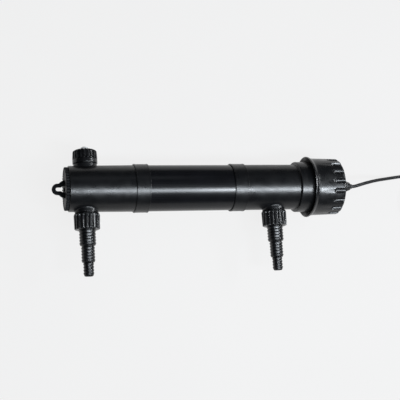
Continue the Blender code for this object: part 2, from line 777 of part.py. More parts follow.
def make_head_base(axis):
    """The inner plate of the lamp head, with the boss that the sleeve is sealed into."""
    plug_r = HEAD_CAVITY_R - GAP
    lamp_gap = LAMP_TUBE_R + LAMP_TUBE_SPACING / 2 + 1.2 * MM
    far = HEAD_INNER_X + 6.0 * MM
    profile = [
        (SLEEVE_FIT_R, SLEEVE_BOSS_START),
        (SLEEVE_BOSS_R, SLEEVE_BOSS_START),
        (SLEEVE_BOSS_R, HEAD_INNER_X - MM),
        (SLEEVE_BOSS_R + 4.0 * MM, HEAD_INNER_X),
        (plug_r, HEAD_INNER_X),
        (plug_r, far),
        (lamp_gap, far),
        (lamp_gap, SLEEVE_MOUTH + GAP),
        (SLEEVE_FIT_R, SLEEVE_MOUTH + GAP),
    ]
    turned("head_base", profile, axis, BIG_STEPS, MOULDED)


def make_sleeve(axis):
    tip = arc((0, SLEEVE_TIP + SLEEVE_R), SLEEVE_R, 270, 360, 5)
    inside = arc((0, SLEEVE_TIP + SLEEVE_R), SLEEVE_R - SLEEVE_WALL, 0, -90, 5)
    profile = [(0.0, SLEEVE_TIP)] + tip[1:] + [(SLEEVE_R, SLEEVE_MOUTH)]
    profile += [(SLEEVE_R - SLEEVE_WALL, SLEEVE_MOUTH)] + inside[:-1] + [(0.0, SLEEVE_TIP + SLEEVE_WALL)]
    turned("quartz_sleeve", profile, axis, SLEEVE_STEPS, QUARTZ)
    seal = pipe(SLEEVE_BOSS_R - 1.8 * MM, SLEEVE_FIT_R, SLEEVE_NUT_FACE + GAP, SLEEVE_BOSS_START - GAP)
    turned("sleeve_seal", seal, axis, SLEEVE_STEPS, RUBBER)
    profile = [
        (SLEEVE_NUT_BORE_R, SLEEVE_NUT_END),
        (SLEEVE_NUT_R, SLEEVE_NUT_END),
        (SLEEVE_NUT_R, SLEEVE_NUT_START),
        (SLEEVE_FIT_R, SLEEVE_NUT_START),
        (SLEEVE_FIT_R, SLEEVE_NUT_FACE),
        (SLEEVE_NUT_BORE_R, SLEEVE_NUT_FACE),
    ]
    turned("sleeve_nut", profile, axis, SLEEVE_STEPS, MOULDED)


def make_lamp(axis, frame):
    """Two parallel glass legs joined near the tip, in a plug-in base."""
    half = LAMP_TUBE_SPACING / 2
    tubes = turned("lamp_tubes", leg_profile(), empty("lamp_leg_1", axis, Matrix.Translation((0, half, 0))),
                   SMALL_STEPS, LAMP_GLASS)
    other = turned("lamp_leg", leg_profile(), empty("lamp_leg_2", axis, Matrix.Translation((0, -half, 0))),
                   SMALL_STEPS)
    boolean(tubes, other, "UNION")

    def bridge(bm):
        spot = Matrix.Translation((LAMP_BRIDGE_X, 0, 0)) @ TO_MINUS_Y
        cylinder(bm, LAMP_BRIDGE_R, LAMP_TUBE_SPACING, spot, 12)

    boolean(tubes, place(mesh_from(bridge, "lamp_bridge"), "lamp_bridge", frame), "UNION")
    lamp_block("lamp_base", LAMP_BASE_START, LAMP_BASE_END, LAMP_BASE_HALF, 0.0, frame, WHITE)
    lamp_block("lamp_holder", LAMP_BASE_END + GAP, HOLDER_END, HOLDER_HALF, 0.0, frame, WHITE)
    lamp_block("ballast", LAMP_BASE_START, BALLAST_END, BALLAST_HALF, BALLAST_LIFT, frame, MOULDED)


def lamp_block(name, start, end, half_size, lift, frame, material):
    half_y, half_z = half_size
    box_object(name, (start, -half_y, lift - half_z), (end, half_y, lift + half_z), frame, material)


def leg_profile():
    tip = arc((0, LAMP_TIP + LAMP_TUBE_R), LAMP_TUBE_R, 270, 360, 4)
    foot = LAMP_BASE_START - GAP
    return [(0.0, LAMP_TIP)] + tip[1:] + [(LAMP_TUBE_R, foot), (0.0, foot)]


def make_gland(axis):
    """A gland body in the cover, a rubber grommet and a faceted nut that tapers to the cord."""
    base = COVER_END + GAP
    inner = CORD_R + GAP
    profile = [
        (inner, base - 12.0 * MM),
        (COVER_BORE_R - GAP, base - 12.0 * MM),
        (COVER_BORE_R - GAP, base),
        (GLAND_R, base),
        (GLAND_R, base + 4.0 * MM),
        (GLAND_THREAD_R, base + 4.4 * MM),
        (GLAND_THREAD_R, base + 19.0 * MM),
        (GROMMET_R + 0.4 * MM, base + 19.0 * MM),
        (GROMMET_R + 0.4 * MM, base + 13.0 * MM),
        (inner, base + 13.0 * MM),
    ]
    turned("gland_body", profile, axis, GLAND_STEPS, GLOSSY)
    profile = [
        (inner, base + 13.3 * MM),
        (GROMMET_R, base + 13.3 * MM),
        (GROMMET_R, base + 22.5 * MM),
        (GROMMET_NECK_R, base + 25.0 * MM),
        (GROMMET_NECK_R - 0.2 * MM, GLAND_TIP),
        (inner, GLAND_TIP),
    ]
    turned("gland_grommet", profile, axis, GLAND_STEPS, RUBBER)
    mouth = GROMMET_NECK_R + 0.9 * MM
    profile = [
        (GLAND_THREAD_R + 1.1 * MM, base + 4.8 * MM),
        (GLAND_R - 0.1 * MM, base + 4.8 * MM),
        (GLAND_R - 0.3 * MM, base + 17.5 * MM),
        (GLAND_R - 3.2 * MM, base + 25.0 * MM),
        (GLAND_R - 4.2 * MM, base + 27.5 * MM),
        (mouth, base + 27.5 * MM),
        (mouth, base + 26.0 * MM),
        (GROMMET_R + MM, base + 23.0 * MM),
        (GLAND_THREAD_R + 1.1 * MM, base + 21.5 * MM),
    ]
    turned("gland_nut", profile, axis, GLAND_FLATS, GLOSSY)


# ---------------------------------------------------------------- cord and plug


def smooth(route, per_span):
    """A Catmull-Rom curve through the route's points."""
    pins = [Vector(point) for point in route]
    pins = [2 * pins[0] - pins[1]] + pins + [2 * pins[-1] - pins[-2]]
    line = []
    for i in range(1, len(pins) - 2):
        a, b, c, d = pins[i - 1:i + 3]
        for k in range(per_span):
            t = k / per_span
            line.append(0.5 * (2 * b + (c - a) * t + (2 * a - 5 * b + 4 * c - d) * t * t
                               + (3 * b - a - 3 * c + d) * t ** 3))
    return line + [pins[-2]]


def cord(name, route, frame, per_span):
    curve = bpy.data.curves.new(name, "CURVE")
    curve.dimensions = "3D"
    curve.bevel_depth = CORD_R
    curve.bevel_resolution = 2
    curve.use_fill_caps = True
    line = smooth(route, per_span)
    spline = curve.splines.new("POLY")
    spline.points.add(len(line) - 1)
    for point, where in zip(spline.points, line):
        point.co = (*where, 1)
    curve.materials.append(RUBBER)
    made = bpy.data.objects.new(name, curve)
    made.parent = frame
    PARTS.objects.link(made)


def make_cord(frame):
    cord("cord", CORD_ROUTE, frame, 2)
    wide, high = COIL_COLUMNS * CORD_R, COIL_LAYERS * 2 * CORD_R
    low, edge = FLOOR + 0.5 * MM, 3.0 * MM
    middle = Matrix.Translation((*COIL_CENTRE, 0))
    profile = [
        (COIL_MID_R - wide, low + edge),
        (COIL_MID_R - wide + edge, low),
        (COIL_MID_R + wide - edge, low),
        (COIL_MID_R + wide, low + edge),
        (COIL_MID_R + wide, low + high - edge),
        (COIL_MID_R + wide - edge, low + high),
        (COIL_MID_R - wide + edge, low + high),
        (COIL_MID_R - wide, low + high - edge),
    ]
    turned("cord_coil", profile, empty("coil_middle", frame, middle), COIL_STEPS, RUBBER)
    cord("cord_end", PLUG_ROUTE, frame, 2)


def make_plug(frame):
    """A flat two-pin plug lying on the floor, its tapered boot facing the cord."""
    start, before = PLUG_ROUTE[-1], PLUG_ROUTE[-2]
    heading = math.atan2(start[1] - before[1], start[0] - before[0])
    where = Matrix.Translation((start[0], start[1], FLOOR + PLUG_HEIGHT / 2 + 0.1 * MM))
    plug = empty("plug_place", frame, where @ Matrix.Rotation(heading, 4, "Z") @ TO_PLUS_X)
    far = BOOT_LENGTH + PLUG_LENGTH

    def body(bm):
        box(bm, (-PLUG_HEIGHT / 2, -PLUG_WIDTH / 2, BOOT_LENGTH), (PLUG_HEIGHT / 2, PLUG_WIDTH / 2, far))
        long_edges = [edge for edge in bm.edges if edge.calc_length() > PLUG_LENGTH - MM]
        bmesh.ops.bevel(bm, geom=long_edges, offset=PLUG_HEIGHT * 0.42, segments=3, profile=0.5,
                        affect="EDGES")

    plug_body = place(mesh_from(body, "plug_body"), "plug_body", plug, RUBBER)
    near = 2 * GAP
    root = BOOT_LENGTH + 4.0 * MM
    boot = [(0.0, near), (CORD_R + MM, near), (BOOT_R, root), (0.0, root)]
    boolean(plug_body, turned("plug_boot", boot, plug, SMALL_STEPS), "UNION")
    for index, side in enumerate((-1, 1)):
        spot = empty(f"pin_place_{index + 1}", plug, Matrix.Translation((0, side * PIN_SPACING / 2, far)))
        profile = [(0.0, GAP), (PIN_R, GAP), (PIN_R, PIN_LENGTH - PIN_EDGE), (PIN_R - PIN_EDGE, PIN_LENGTH),
                   (0.0, PIN_LENGTH)]
        turned(f"plug_pin_{index + 1}", profile, spot, SCREW_STEPS, STEEL)


# ---------------------------------------------------------------- assembly

clear_scene()
PARTS = collection("uv_clarifier")
CUTTERS = collection("cutters", hidden=True)

MOULDED = finish("moulded_black", (0.012, 0.012, 0.014), 0.42)
SATIN = finish("satin_tube", (0.013, 0.014, 0.016), 0.30)
GLOSSY = finish("glossy_black", (0.010, 0.010, 0.012), 0.24)
RUBBER = finish("rubber", (0.018, 0.018, 0.018), 0.60)
CLEAR = finish("lens", (0.88, 0.90, 0.92), 0.15, alpha=0.5)
QUARTZ = finish("quartz", (0.92, 0.94, 0.96), 0.05, alpha=0.3)
LAMP_GLASS = finish("lamp_glass", (0.90, 0.92, 0.95), 0.10, alpha=0.5)
WHITE = finish("lamp_white", (0.80, 0.80, 0.78), 0.40)
STEEL = finish("steel", (0.60, 0.60, 0.60), 0.30, 1.0)

middle_x = (LUG_TIP_X + GLAND_TIP) / 2
middle_y = (DOME_TOP - TAIL_SECTIONS[-1][1]) / 2
FRAME = empty("clarifier_frame", None, Matrix.Translation((-middle_x, -middle_y, AXIS_HEIGHT)))
AXIS = empty("tube_axis", FRAME, TO_PLUS_X)
LEFT_PORT = empty("left_port", FRAME, Matrix.Translation((LEFT_PORT_X, 0, 0)) @ TO_MINUS_Y)
SIGHT_PORT = empty("sight_port", FRAME, Matrix.Translation((LEFT_PORT_X, 0, 0)) @ TO_PLUS_Y)
RIGHT_PORT = empty("right_port", FRAME, Matrix.Translation((RIGHT_PORT_X, 0, 0)) @ TO_MINUS_Y)

make_left_housing(AXIS, LEFT_PORT, SIGHT_PORT)
make_right_housing(AXIS, RIGHT_PORT)
make_centre_tube(AXIS)
make_bracket("left_bracket", LEFT_SEAM, AXIS, FRAME)
make_bracket("right_bracket", RIGHT_SEAM, AXIS, FRAME)
make_end_cap(AXIS, FRAME)
make_sleeve_support(AXIS, FRAME)
for side, port in (("left", LEFT_PORT), ("right", RIGHT_PORT)):
    make_tail(side + "_hose_tail", port)
    make_seal(side + "_union_seal", port)
    make_union_nut(side + "_union_nut", port)
make_sight_cap(SIGHT_PORT)
make_lock_ring(AXIS)
make_head_shell(AXIS)
make_head_base(AXIS)
make_sleeve(AXIS)
make_lamp(AXIS, FRAME)
make_gland(AXIS)
make_cord(FRAME)
make_plug(FRAME)
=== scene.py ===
"""The UV clarifier as the camera sees it: fine meshes, procedural plastics, soft light, its cord.

Pieces are turned about one of three kinds of axis: the tube's, a port's or a screw's. In the tube's
frame X runs from the hanging lug to the lamp head, Y points to the sight cap and Z to the camera.
"""

import math

import bmesh
import bpy
from mathutils import Matrix, Vector


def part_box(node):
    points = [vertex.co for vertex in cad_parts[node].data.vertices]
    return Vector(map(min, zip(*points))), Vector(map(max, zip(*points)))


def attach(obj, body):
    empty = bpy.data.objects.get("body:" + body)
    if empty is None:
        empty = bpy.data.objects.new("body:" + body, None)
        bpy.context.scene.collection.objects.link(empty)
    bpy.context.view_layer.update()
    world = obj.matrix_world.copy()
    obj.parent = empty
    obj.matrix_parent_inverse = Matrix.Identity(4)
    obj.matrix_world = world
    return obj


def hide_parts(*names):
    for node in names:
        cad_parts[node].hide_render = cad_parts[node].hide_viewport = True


MM = 0.001  # every length below is in millimetres until it becomes a mesh or a place
TINY = 1e-6
SHARP = math.radians(32)
GAP = 0.3

# Tube and housings, in the tube's frame
TUBE_R = 45.0
TUBE_WALL = 3.0
LEFT_END = -264.0
LEFT_SEAM = -125.2
RIGHT_SEAM = 69.0
HOUSING_R = 45.3
HOUSING_TIP_R = 44.1
HOUSING_BORE_R = 40.8
SPIGOT = 20.0
COLLAR_START = 190.8
COLLAR_R = 50.8
COLLAR_BORE_R = 46.2
THREAD_START = 222.0
THREAD_END = 250.0
THREAD_R = 49.7
THREAD_DEPTH = 0.9
THREAD_PITCH = 4.0
RIDGE_START = THREAD_START + 4.0
RIDGE_END = THREAD_END - 1.5

# End cap and its hanging lug
CAP_R = 41.6
CAP_END = -271.4
CAP_FACE = -270.5
CAP_RIM = 3.4
CAP_TEETH = 44
TOOTH_DEPTH = 1.3
LUG_THICKNESS = 6.0
LUG_EDGE = 1.1
LUG_TIP_R = 10.9
LUG_TIP_X = -294.8
LUG_ROOT_R = 18.0
LUG_ROOT_X = -267.0
LUG_FILLET = 4.0
KEY_HOLE_X = -272.6
KEY_HOLE_R = 6.0
KEY_SLOT_X = -283.7
KEY_SLOT_R = 3.8

# Brackets
BAND_WIDTH = 27.0
BAND_R = 47.5
BAND_BORE_R = 45.7
NECK_HALF = 17.0
FOOT_HALF = 33.0
FOOT_THICKNESS = 5.0
FOOT_HOLE_R = 2.6
FOOT_HOLE_Y = 26.0

# Ports, unions and sight cap; stations are distances from the tube's axis
LEFT_PORT_X = -230.4
BOSS_R = 22.5
BOSS_TOP = 47.4
BOSS_FILLET = 1.8
PORT_R = 20.4
PORT_BORE_R = 15.0
PORT_TOP = 66.0
PORT_PITCH = 3.0
PORT_DEPTH = 0.8
SEAL = 2.0
NUT_BASE = 48.6
NUT_TOP = 79.5
NUT_R = 24.8
NUT_BORE_R = 21.3
NUT_RIBS = 20
NUT_HOLE_R = 16.9
TAIL_NECK_R = 16.2
TAIL_FLANGE = 4.6
TAIL_SECTIONS = ((15.9, 110.9), (13.1, 142.8), (10.2, 167.6))
TAIL_WALL = 2.9
BARBS = (5, 5, 4)
BARB_PITCH = 5.8
BARB_DEPTH = 1.3
SHOULDER = 1.2
SIGHT_BASE = 48.6
SIGHT_SHOULDER = 73.0
SIGHT_TOP = 77.5
SIGHT_R = 23.9
DOME_R = 12.0
DOME_TOP = 83.0
DOME_WALL = 2.5
LENS_FLANGE = 2.4

# Lock ring and lamp head
LIP_X = 216.0
LIP_R = 61.5
RING_R = 57.8
RING_END = 284.0
RING_BORE_R = 50.2
RING_HOLE_R = 36.0
RING_PLATE = 6.0
FLUTES = 18
FLUTE_START = 257.0
FLUTE_R = 5.8
HEAD_R = 48.5
HEAD_PLUG_R = 45.6
HEAD_CAVITY_R = 41.5
HEAD_INNER_X = 229.0
COVER_R = 35.4
COVER_END = 284.8
COVER_SCREWS = 3
COVER_SCREW_R = 32.4
COVER_HOLE_R = 4.5
SCREW_RECESS = 2.8
SCREW_HEAD_R = 3.0
SCREW_HEAD = 2.0
SCREW_R = 1.5

# Lamp and quartz sleeve
SLEEVE_R = 24.0
SLEEVE_WALL = 1.8
SLEEVE_TIP = -182.0
SLEEVE_MOUTH = 231.0
LAMP_TUBE_R = 8.75
LAMP_TUBE_SPACING = 20.5
LAMP_TIP = -155.0
LAMP_FOOT = 240.7
LAMP_COLLAR = 214.0
LAMP_BRIDGE_R = 4.0
PLATE_START = 215.0
PLATE_R = 30.0
SLEEVE_NUT_R = 33.5
SLEEVE_NUT_BORE_R = 30.5
SLEEVE_NUT_START = 207.0
SLEEVE_NUT_END = 225.5
SLEEVE_NUT_GRIPS = 24

# Cord, from the gland to the plug
GLAND_TIP = 317.6
CORD_R = 3.4
FLOOR = -66.0
CORD_ROUTE = (
    (GLAND_TIP + GAP, 0.0, 0.0),
    (321.5, 0.1, 0.0),
    (327.5, 1.3, -0.6),
    (336.0, 3.7, -2.4),
    (348.0, 7.3, -6.4),
    (362.0, 11.4, -12.8),
    (378.0, 15.9, -21.8),
    (396.0, 20.6, -33.0),
    (415.0, 25.0, -44.6),
    (435.0, 29.2, -54.4),
    (456.0, 32.9, -60.4),
    (478.0, 35.6, -62.4),
    (502.5, 37.0, -62.5),
)
COIL_CENTRE = (534.0, -23.4)
COIL_MID_R = 48.4
COIL_COLUMNS = 4.525
COIL_LAYERS = 4
COIL_CLIMB = 0.3  # of a turn, from one layer to the next
COIL_TURNS = 15
COIL_STEPS = 16
PLUG_ROUTE = (
    (565.5, 37.0, -41.7),
    (584.0, 36.9, -44.2),
    (606.0, 36.5, -51.5),
    (628.0, 35.8, -59.0),
    (650.0, 34.8, -62.2),
    (672.0, 33.7, -61.2),
    (690.0, 32.6, -58.9),
)
PLUG_WIDTH = 35.4
PLUG_HEIGHT = 14.0
PLUG_LENGTH = 34.0
BOOT_LENGTH = 22.0
PIN_R = 2.0
PIN_LENGTH = 19.0
PIN_SPACING = 19.0
BOOT_RINGS = 5

# Camera, in the row frame, in metres and degrees
CAMERA_AT = (-0.4504, -0.3077, 1.729)
CAMERA_YAW = 14.57
CAMERA_PITCH = -10.73
CAMERA_ROLL = 3.48
CAMERA_LENS = 79.97

# Studio; each light has a direction from the object, a distance, a width and a height in metres, and watts
LIGHTS = (
    ("key", (0.20, -0.375, 0.885), 1.6, 1.5, 0.33, 52, (0.86, 0.93, 1.0)),
    ("top", (-0.1, 0.7, 0.8), 2.4, 1.5, 0.6, 1.5, (0.9, 0.95, 1.0)),
    ("side", (0.80, 0.10, 0.58), 1.6, 0.10, 0.8, 20, (0.92, 0.96, 1.0)),
    ("end", (0.40, -0.36, 0.86), 1.6, 0.36, 0.12, 11, (0.88, 0.94, 1.0)),
)
WORLD_STRENGTH = 0.03
FLOOR_HALF = 3000.0

TO_PLUS_X = Matrix.Rotation(math.pi / 2, 4, "Y")
TO_MINUS_Y = Matrix.Rotation(math.pi / 2, 4, "X")
TO_PLUS_Y = Matrix.Rotation(-math.pi / 2, 4, "X")


# ---------------------------------------------------------------- meshes


def shift(x, y, z):
    return Matrix.Translation((x * MM, y * MM, z * MM))


def shown(name, data, place):
    """A new object in the scene."""
    made = bpy.data.objects.new(name, data)
    bpy.context.scene.collection.objects.link(made)
    made.matrix_world = place
    return made


def angle_of(index, count):
    return 2 * math.pi * index / count


def arc(centre, radius, start, end, count):
    """Points on an arc from start to end, in degrees from the first axis."""
    points = []
    for i in range(count + 1):
        angle = math.radians(start + (end - start) * i / count)
        points.append((centre[0] + radius * math.cos(angle), centre[1] + radius * math.sin(angle)))
    return points


def rounded(corners, steps=5):
    """The closed outline of (radius, station, rounding) corners, each rounding drawn as a curve."""
    points = []
    for before, corner, after in zip(corners[-1:] + corners[:-1], corners, corners[1:] + corners[:1]):
        here = Vector(corner[:2])
        if len(corner) < 3:
            points.append(here)
            continue
        back, on = Vector(before[:2]) - here, Vector(after[:2]) - here
        cut = min(corner[2] / math.tan(back.angle(on) / 2), 0.48 * back.length, 0.48 * on.length)
        start, end = here + back.normalized() * cut, here + on.normalized() * cut
        for k in range(steps + 1):
            t = k / steps
            points.append((1 - t) ** 2 * start + 2 * t * (1 - t) * here + t * t * end)
    return points


def refined(outline, step):
    """The closed outline with points added so that none are further apart than the step."""
    points = []
    for a, b in zip(outline, outline[1:] + outline[:1]):
        a, b = Vector(a), Vector(b)
        count = max(1, math.ceil((b - a).length / step))
        points += [a.lerp(b, k / count) for k in range(count)]
    return points


def edge_wear(bm):
    """How far each point stands out on a convex edge, from 0 to 1, for the materials."""
    layer = bm.verts.layers.float.new("edge")
    for vert in bm.verts:
        angles = [edge.calc_face_angle_signed(0.0) for edge in vert.link_edges if edge.is_manifold]
        vert[layer] = min(1.0, max(0.0, max(angles, default=0.0) / math.radians(60)))


def tidy(mesh):
    """Welds the mesh, turns its faces outwards, shades it smooth between sharp edges."""
    bm = bmesh.new()
    bm.from_mesh(mesh)
    bmesh.ops.remove_doubles(bm, verts=bm.verts, dist=TINY)
    bmesh.ops.dissolve_degenerate(bm, edges=bm.edges, dist=TINY)
    bmesh.ops.recalc_face_normals(bm, faces=bm.faces)
    for face in bm.faces:
        face.smooth = True
    for edge in bm.edges:
        edge.smooth = not edge.is_manifold or edge.calc_face_angle(0.0) < SHARP
    if "edge" not in bm.verts.layers.float:
        edge_wear(bm)
    bm.to_mesh(mesh)
    bm.free()


def piece(name, points, faces, place):
    mesh = bpy.data.meshes.new(name)
    mesh.from_pydata([[part * MM for part in point] for point in points], [], faces)
    tidy(mesh)
    return shown(name, mesh, place)


def rings(name, rows, place, closed=True):
    """A surface through rows of points, each row a ring of the same number of points."""
    count = len(rows[0])
    points = [point for row in rows for point in row]
    faces = []
    for i in range(len(rows) if closed else len(rows) - 1):
        j = (i + 1) % len(rows)
        for k in range(count):
            n = (k + 1) % count
            faces.append((i * count + k, j * count + k, j * count + n, i * count + n))
    return piece(name, points, faces, place)


def lathe(name, outline, steps, place, shape=None):
    """A body turned about the place's Z axis; shape(angle, radius, station) gives a point's radius."""
    rows = []
    for radius, station in outline:
        row = []
        for i in range(steps):
            angle = angle_of(i, steps)
            reach = shape(angle, radius, station) if shape and radius > TINY else radius
            row.append((reach * math.cos(angle), reach * math.sin(angle), station))
        rows.append(row)
    return rings(name, rows, place, max(outline[0][0], outline[-1][0]) > TINY)


def prism(name, outlines, low, high, edge, place):
    """A flat plate of closed outlines, the first its rim and the others holes, with rounded edges."""
    curve = bpy.data.curves.new(name, "CURVE")
    curve.dimensions = "2D"
    curve.fill_mode = "BOTH"
    curve.extrude = (high - low) / 2 - edge
    curve.bevel_depth = edge
    curve.bevel_resolution = 2
    curve.offset = -edge
    for outline in outlines:
        spline = curve.splines.new("POLY")
        spline.points.add(len(outline) - 1)
        for point, (x, y) in zip(spline.points, outline):
            point.co = (x, y, 0, 1)
        spline.use_cyclic_u = True
    plate = shown(name, curve, Matrix.Identity(4))
    mesh = bpy.data.meshes.new_from_object(plate.evaluated_get(bpy.context.evaluated_depsgraph_get()))
    bpy.data.objects.remove(plate)
    mesh.transform(shift(0, 0, (low + high) / 2) @ Matrix.Scale(MM, 4))
    tidy(mesh)
    return shown(name, mesh, place)


def block(name, low, high, edge, place):
    """A box with rounded edges."""
    bm = bmesh.new()
    size = Vector(high) - Vector(low)
    middle = (Vector(high) + Vector(low)) / 2
    bmesh.ops.create_cube(bm, size=1, matrix=Matrix.Translation(middle) @ Matrix.Diagonal((*size, 1)))
    bmesh.ops.bevel(bm, geom=bm.edges[:], offset=edge, segments=3, profile=0.5, affect="EDGES")
    mesh = bpy.data.meshes.new(name)
    bm.to_mesh(mesh)
    bm.free()
    mesh.transform(Matrix.Scale(MM, 4))
    tidy(mesh)
    return shown(name, mesh, place)


def combine(body, others, operation="DIFFERENCE"):
    """Joins the others to the body or cuts them out of it, and removes them."""
    for other in others:
        step = body.modifiers.new(operation, "BOOLEAN")
        step.operation = operation
        step.solver = "EXACT"
        step.object = other
    bpy.context.view_layer.update()
    seen = body.evaluated_get(bpy.context.evaluated_depsgraph_get())
    mesh = bpy.data.meshes.new_from_object(seen)
    body.modifiers.clear()
    body.data = mesh
    for other in others:
        bpy.data.objects.remove(other)
    if "edge" in mesh.attributes:
        mesh.attributes.remove(mesh.attributes["edge"])
    tidy(mesh)
    return body


def rod(name, radius, low, high, steps, place):
    return lathe(name, [(0.0, low), (radius, low), (radius, high), (0.0, high)], steps, place)


def on_axis(outline):
    """The outline with points that all but touch the axis put on it."""
    return [(0.0 if radius < 0.01 else radius, station) for radius, station in outline]


def soft_min(a, b, blend):
    """The lower of two values, with a rounded change from one to the other."""
    near = max(blend - abs(a - b), 0.0) / blend
    return min(a, b) - near * near * blend / 4


def grooved(count, groove, centre, start, blend, lean=0.0, beyond=0.0):
    """A shape for lathe: round-ended grooves where the radius is beyond a limit, evenly spaced."""
    pitch = 2 * math.pi / count

    def shape(angle, radius, station):
        along = station - start
        if along <= 0 or radius <= beyond:
            return radius
        off = abs((angle + pitch / 2) % pitch - pitch / 2)
        reach = groove * math.sqrt(1 - max(0.0, 1 - along / groove) ** 2)
        middle = centre - lean * along
        side = middle * math.sin(off)
        depth = math.sqrt(max(0.0, reach * reach - side * side))
        bottom = middle * math.cos(off) - depth if depth else radius + blend
        return soft_min(radius, bottom, blend)

    return shape


def threaded(outer, depth, pitch, low, high):
    """A shape for lathe: one helical ridge on the outer radius between two stations."""

    def shape(angle, radius, station):
        if not low <= station <= high or radius < outer - depth / 2:
            return radius
        phase = (station / pitch - angle / (2 * math.pi)) % 1
        ridge = min(1.0, max(0.0, 2.2 - 5.5 * abs(phase - 0.5)))
        ends = min(1.0, (station - low) / pitch, (high - station) / pitch)
        return outer - depth + depth * ridge * ends

    return shape


# ---------------------------------------------------------------- materials


LOOKS = {}


class Look:
    """A material whose shader is fed by procedural nodes in the piece's own coordinates."""

    def __init__(self, name, **sockets):
        self.made = LOOKS[name] = bpy.data.materials.new(name)
        self.made.use_nodes = True
        self.tree = self.made.node_tree
        self.shader = self.tree.nodes["Principled BSDF"]
        self.where = self.node("ShaderNodeTexCoord").outputs["Object"]
        self.height = None
        for socket, value in sockets.items():
            self.shader.inputs[socket.replace("_", " ")].default_value = value

    def node(self, kind, **settings):
        made = self.tree.nodes.new(kind)
        for setting, value in settings.items():
            setattr(made, setting, value)
        return made

    def feed(self, output, socket):
        self.tree.links.new(output, socket)

    def noise(self, size, detail=3.0, stretch=(1, 1, 1)):
        """Noise whose blobs are about the size, in metres, drawn out by the stretch."""
        place = self.node("ShaderNodeMapping")
        place.inputs["Scale"].default_value = [1 / (size * factor) for factor in stretch]
        self.feed(self.where, place.inputs["Vector"])
        made = self.node("ShaderNodeTexNoise")
        made.inputs["Scale"].default_value = 1.0
        made.inputs["Detail"].default_value = detail
        self.feed(place.outputs["Vector"], made.inputs["Vector"])
        return made.outputs["Fac"]

    def edge(self):
        made = self.node("ShaderNodeAttribute", attribute_name="edge")
        return made.outputs["Fac"]

    def ramp(self, value, low, high, out_low=0.0, out_high=1.0):
        """The value from low to high, spread over the output's range and held at its ends."""
        made = self.node("ShaderNodeMapRange", interpolation_type="SMOOTHSTEP")
        for socket, number in (("From Min", low), ("From Max", high), ("To Min", out_low),
                               ("To Max", out_high)):
            made.inputs[socket].default_value = number
        self.feed(value, made.inputs["Value"])
        return made.outputs["Result"]

    def patches(self, size, detail, *span):
        """Noise of the size, ramped over the span."""
        return self.ramp(self.noise(size, detail), *span)

    def maths(self, operation, a, b):
        made = self.node("ShaderNodeMath", operation=operation)
        for value, socket in ((a, made.inputs[0]), (b, made.inputs[1])):
            if isinstance(value, float):
                socket.default_value = value
            else:
                self.feed(value, socket)
        return made.outputs["Value"]

    def blend(self, share, a, b):
        """A colour between two, each a colour or another output."""
        made = self.node("ShaderNodeMix", data_type="RGBA")
        for value, socket in ((share, made.inputs[0]), (a, made.inputs[6]), (b, made.inputs[7])):
            if isinstance(value, tuple):
                socket.default_value = (*value, 1.0)
            else:
                self.feed(value, socket)
        return made.outputs[2]

    def colour(self, output):
        self.feed(output, self.shader.inputs["Base Color"])

    def roughness(self, output):
        self.feed(output, self.shader.inputs["Roughness"])

    def relief(self, output, depth, strength=1.0):
        """Adds one layer of bump, depth in metres."""
        made = self.node("ShaderNodeBump")
        made.inputs["Strength"].default_value = strength
        made.inputs["Distance"].default_value = depth
        self.feed(output, made.inputs["Height"])
        if self.height:
            self.feed(self.height, made.inputs["Normal"])
        self.height = made.outputs["Normal"]
        self.feed(self.height, self.shader.inputs["Normal"])

    def layers(self, reliefs):
        """One layer of bump for each noise size, detail, depth and strength."""
        for size, detail, depth, strength in reliefs:
            self.relief(self.noise(size, detail), depth, strength)


def worn(look, colour, worn_colour, dust_colour):
    """Black plastic with patchy tone, a little dust, and rubbed edges."""
    tone = look.blend(look.patches(0.035, 4.0, 0.35, 0.7), colour, tuple(1.35 * part for part in colour))
    dusty = look.blend(look.patches(0.0012, 2.0, 0.66, 0.78, 0.0, 0.35), tone, dust_colour)
    rub = look.maths("MULTIPLY", look.ramp(look.edge(), 0.15, 0.8), look.patches(0.004, 3.0, 0.4, 0.65))
    look.colour(look.blend(look.maths("MULTIPLY", rub, 0.55), dusty, worn_colour))
    return rub


def black(name, level, tones, rough, rubbed, *reliefs):
    """Worn black plastic, rougher in patches and where its edges are rubbed."""
    look = Look(name, Specular_IOR_Level=level)
    rub = worn(look, *tones)
    look.roughness(look.maths("ADD", look.patches(*rough), look.maths("MULTIPLY", rub, rubbed)))
    look.layers(reliefs)


def mottled(name, mottle, colours, rough, *reliefs, **sockets):
    """A look whose colour and roughness each follow a noise of their own."""
    look = Look(name, **sockets)
    look.colour(look.blend(look.patches(*mottle), *colours))
    look.roughness(look.patches(*rough))
    look.layers(reliefs)


def satin_tube():
    """Extruded pipe: fine lines run along it, in the tube's own Z."""
    look = Look("satin_tube", Specular_IOR_Level=0.25)
    worn(look, (0.0020, 0.0021, 0.0026), (0.012, 0.013, 0.014), (0.006, 0.006, 0.008))
    lines = look.noise(0.0011, 3.0, (1, 1, 160))
    look.roughness(look.ramp(lines, 0.3, 0.7, 0.22, 0.28))
    look.relief(lines, 0.00003, 0.5)
    look.layers([(0.03, 2.0, 0.0004, 0.2)])


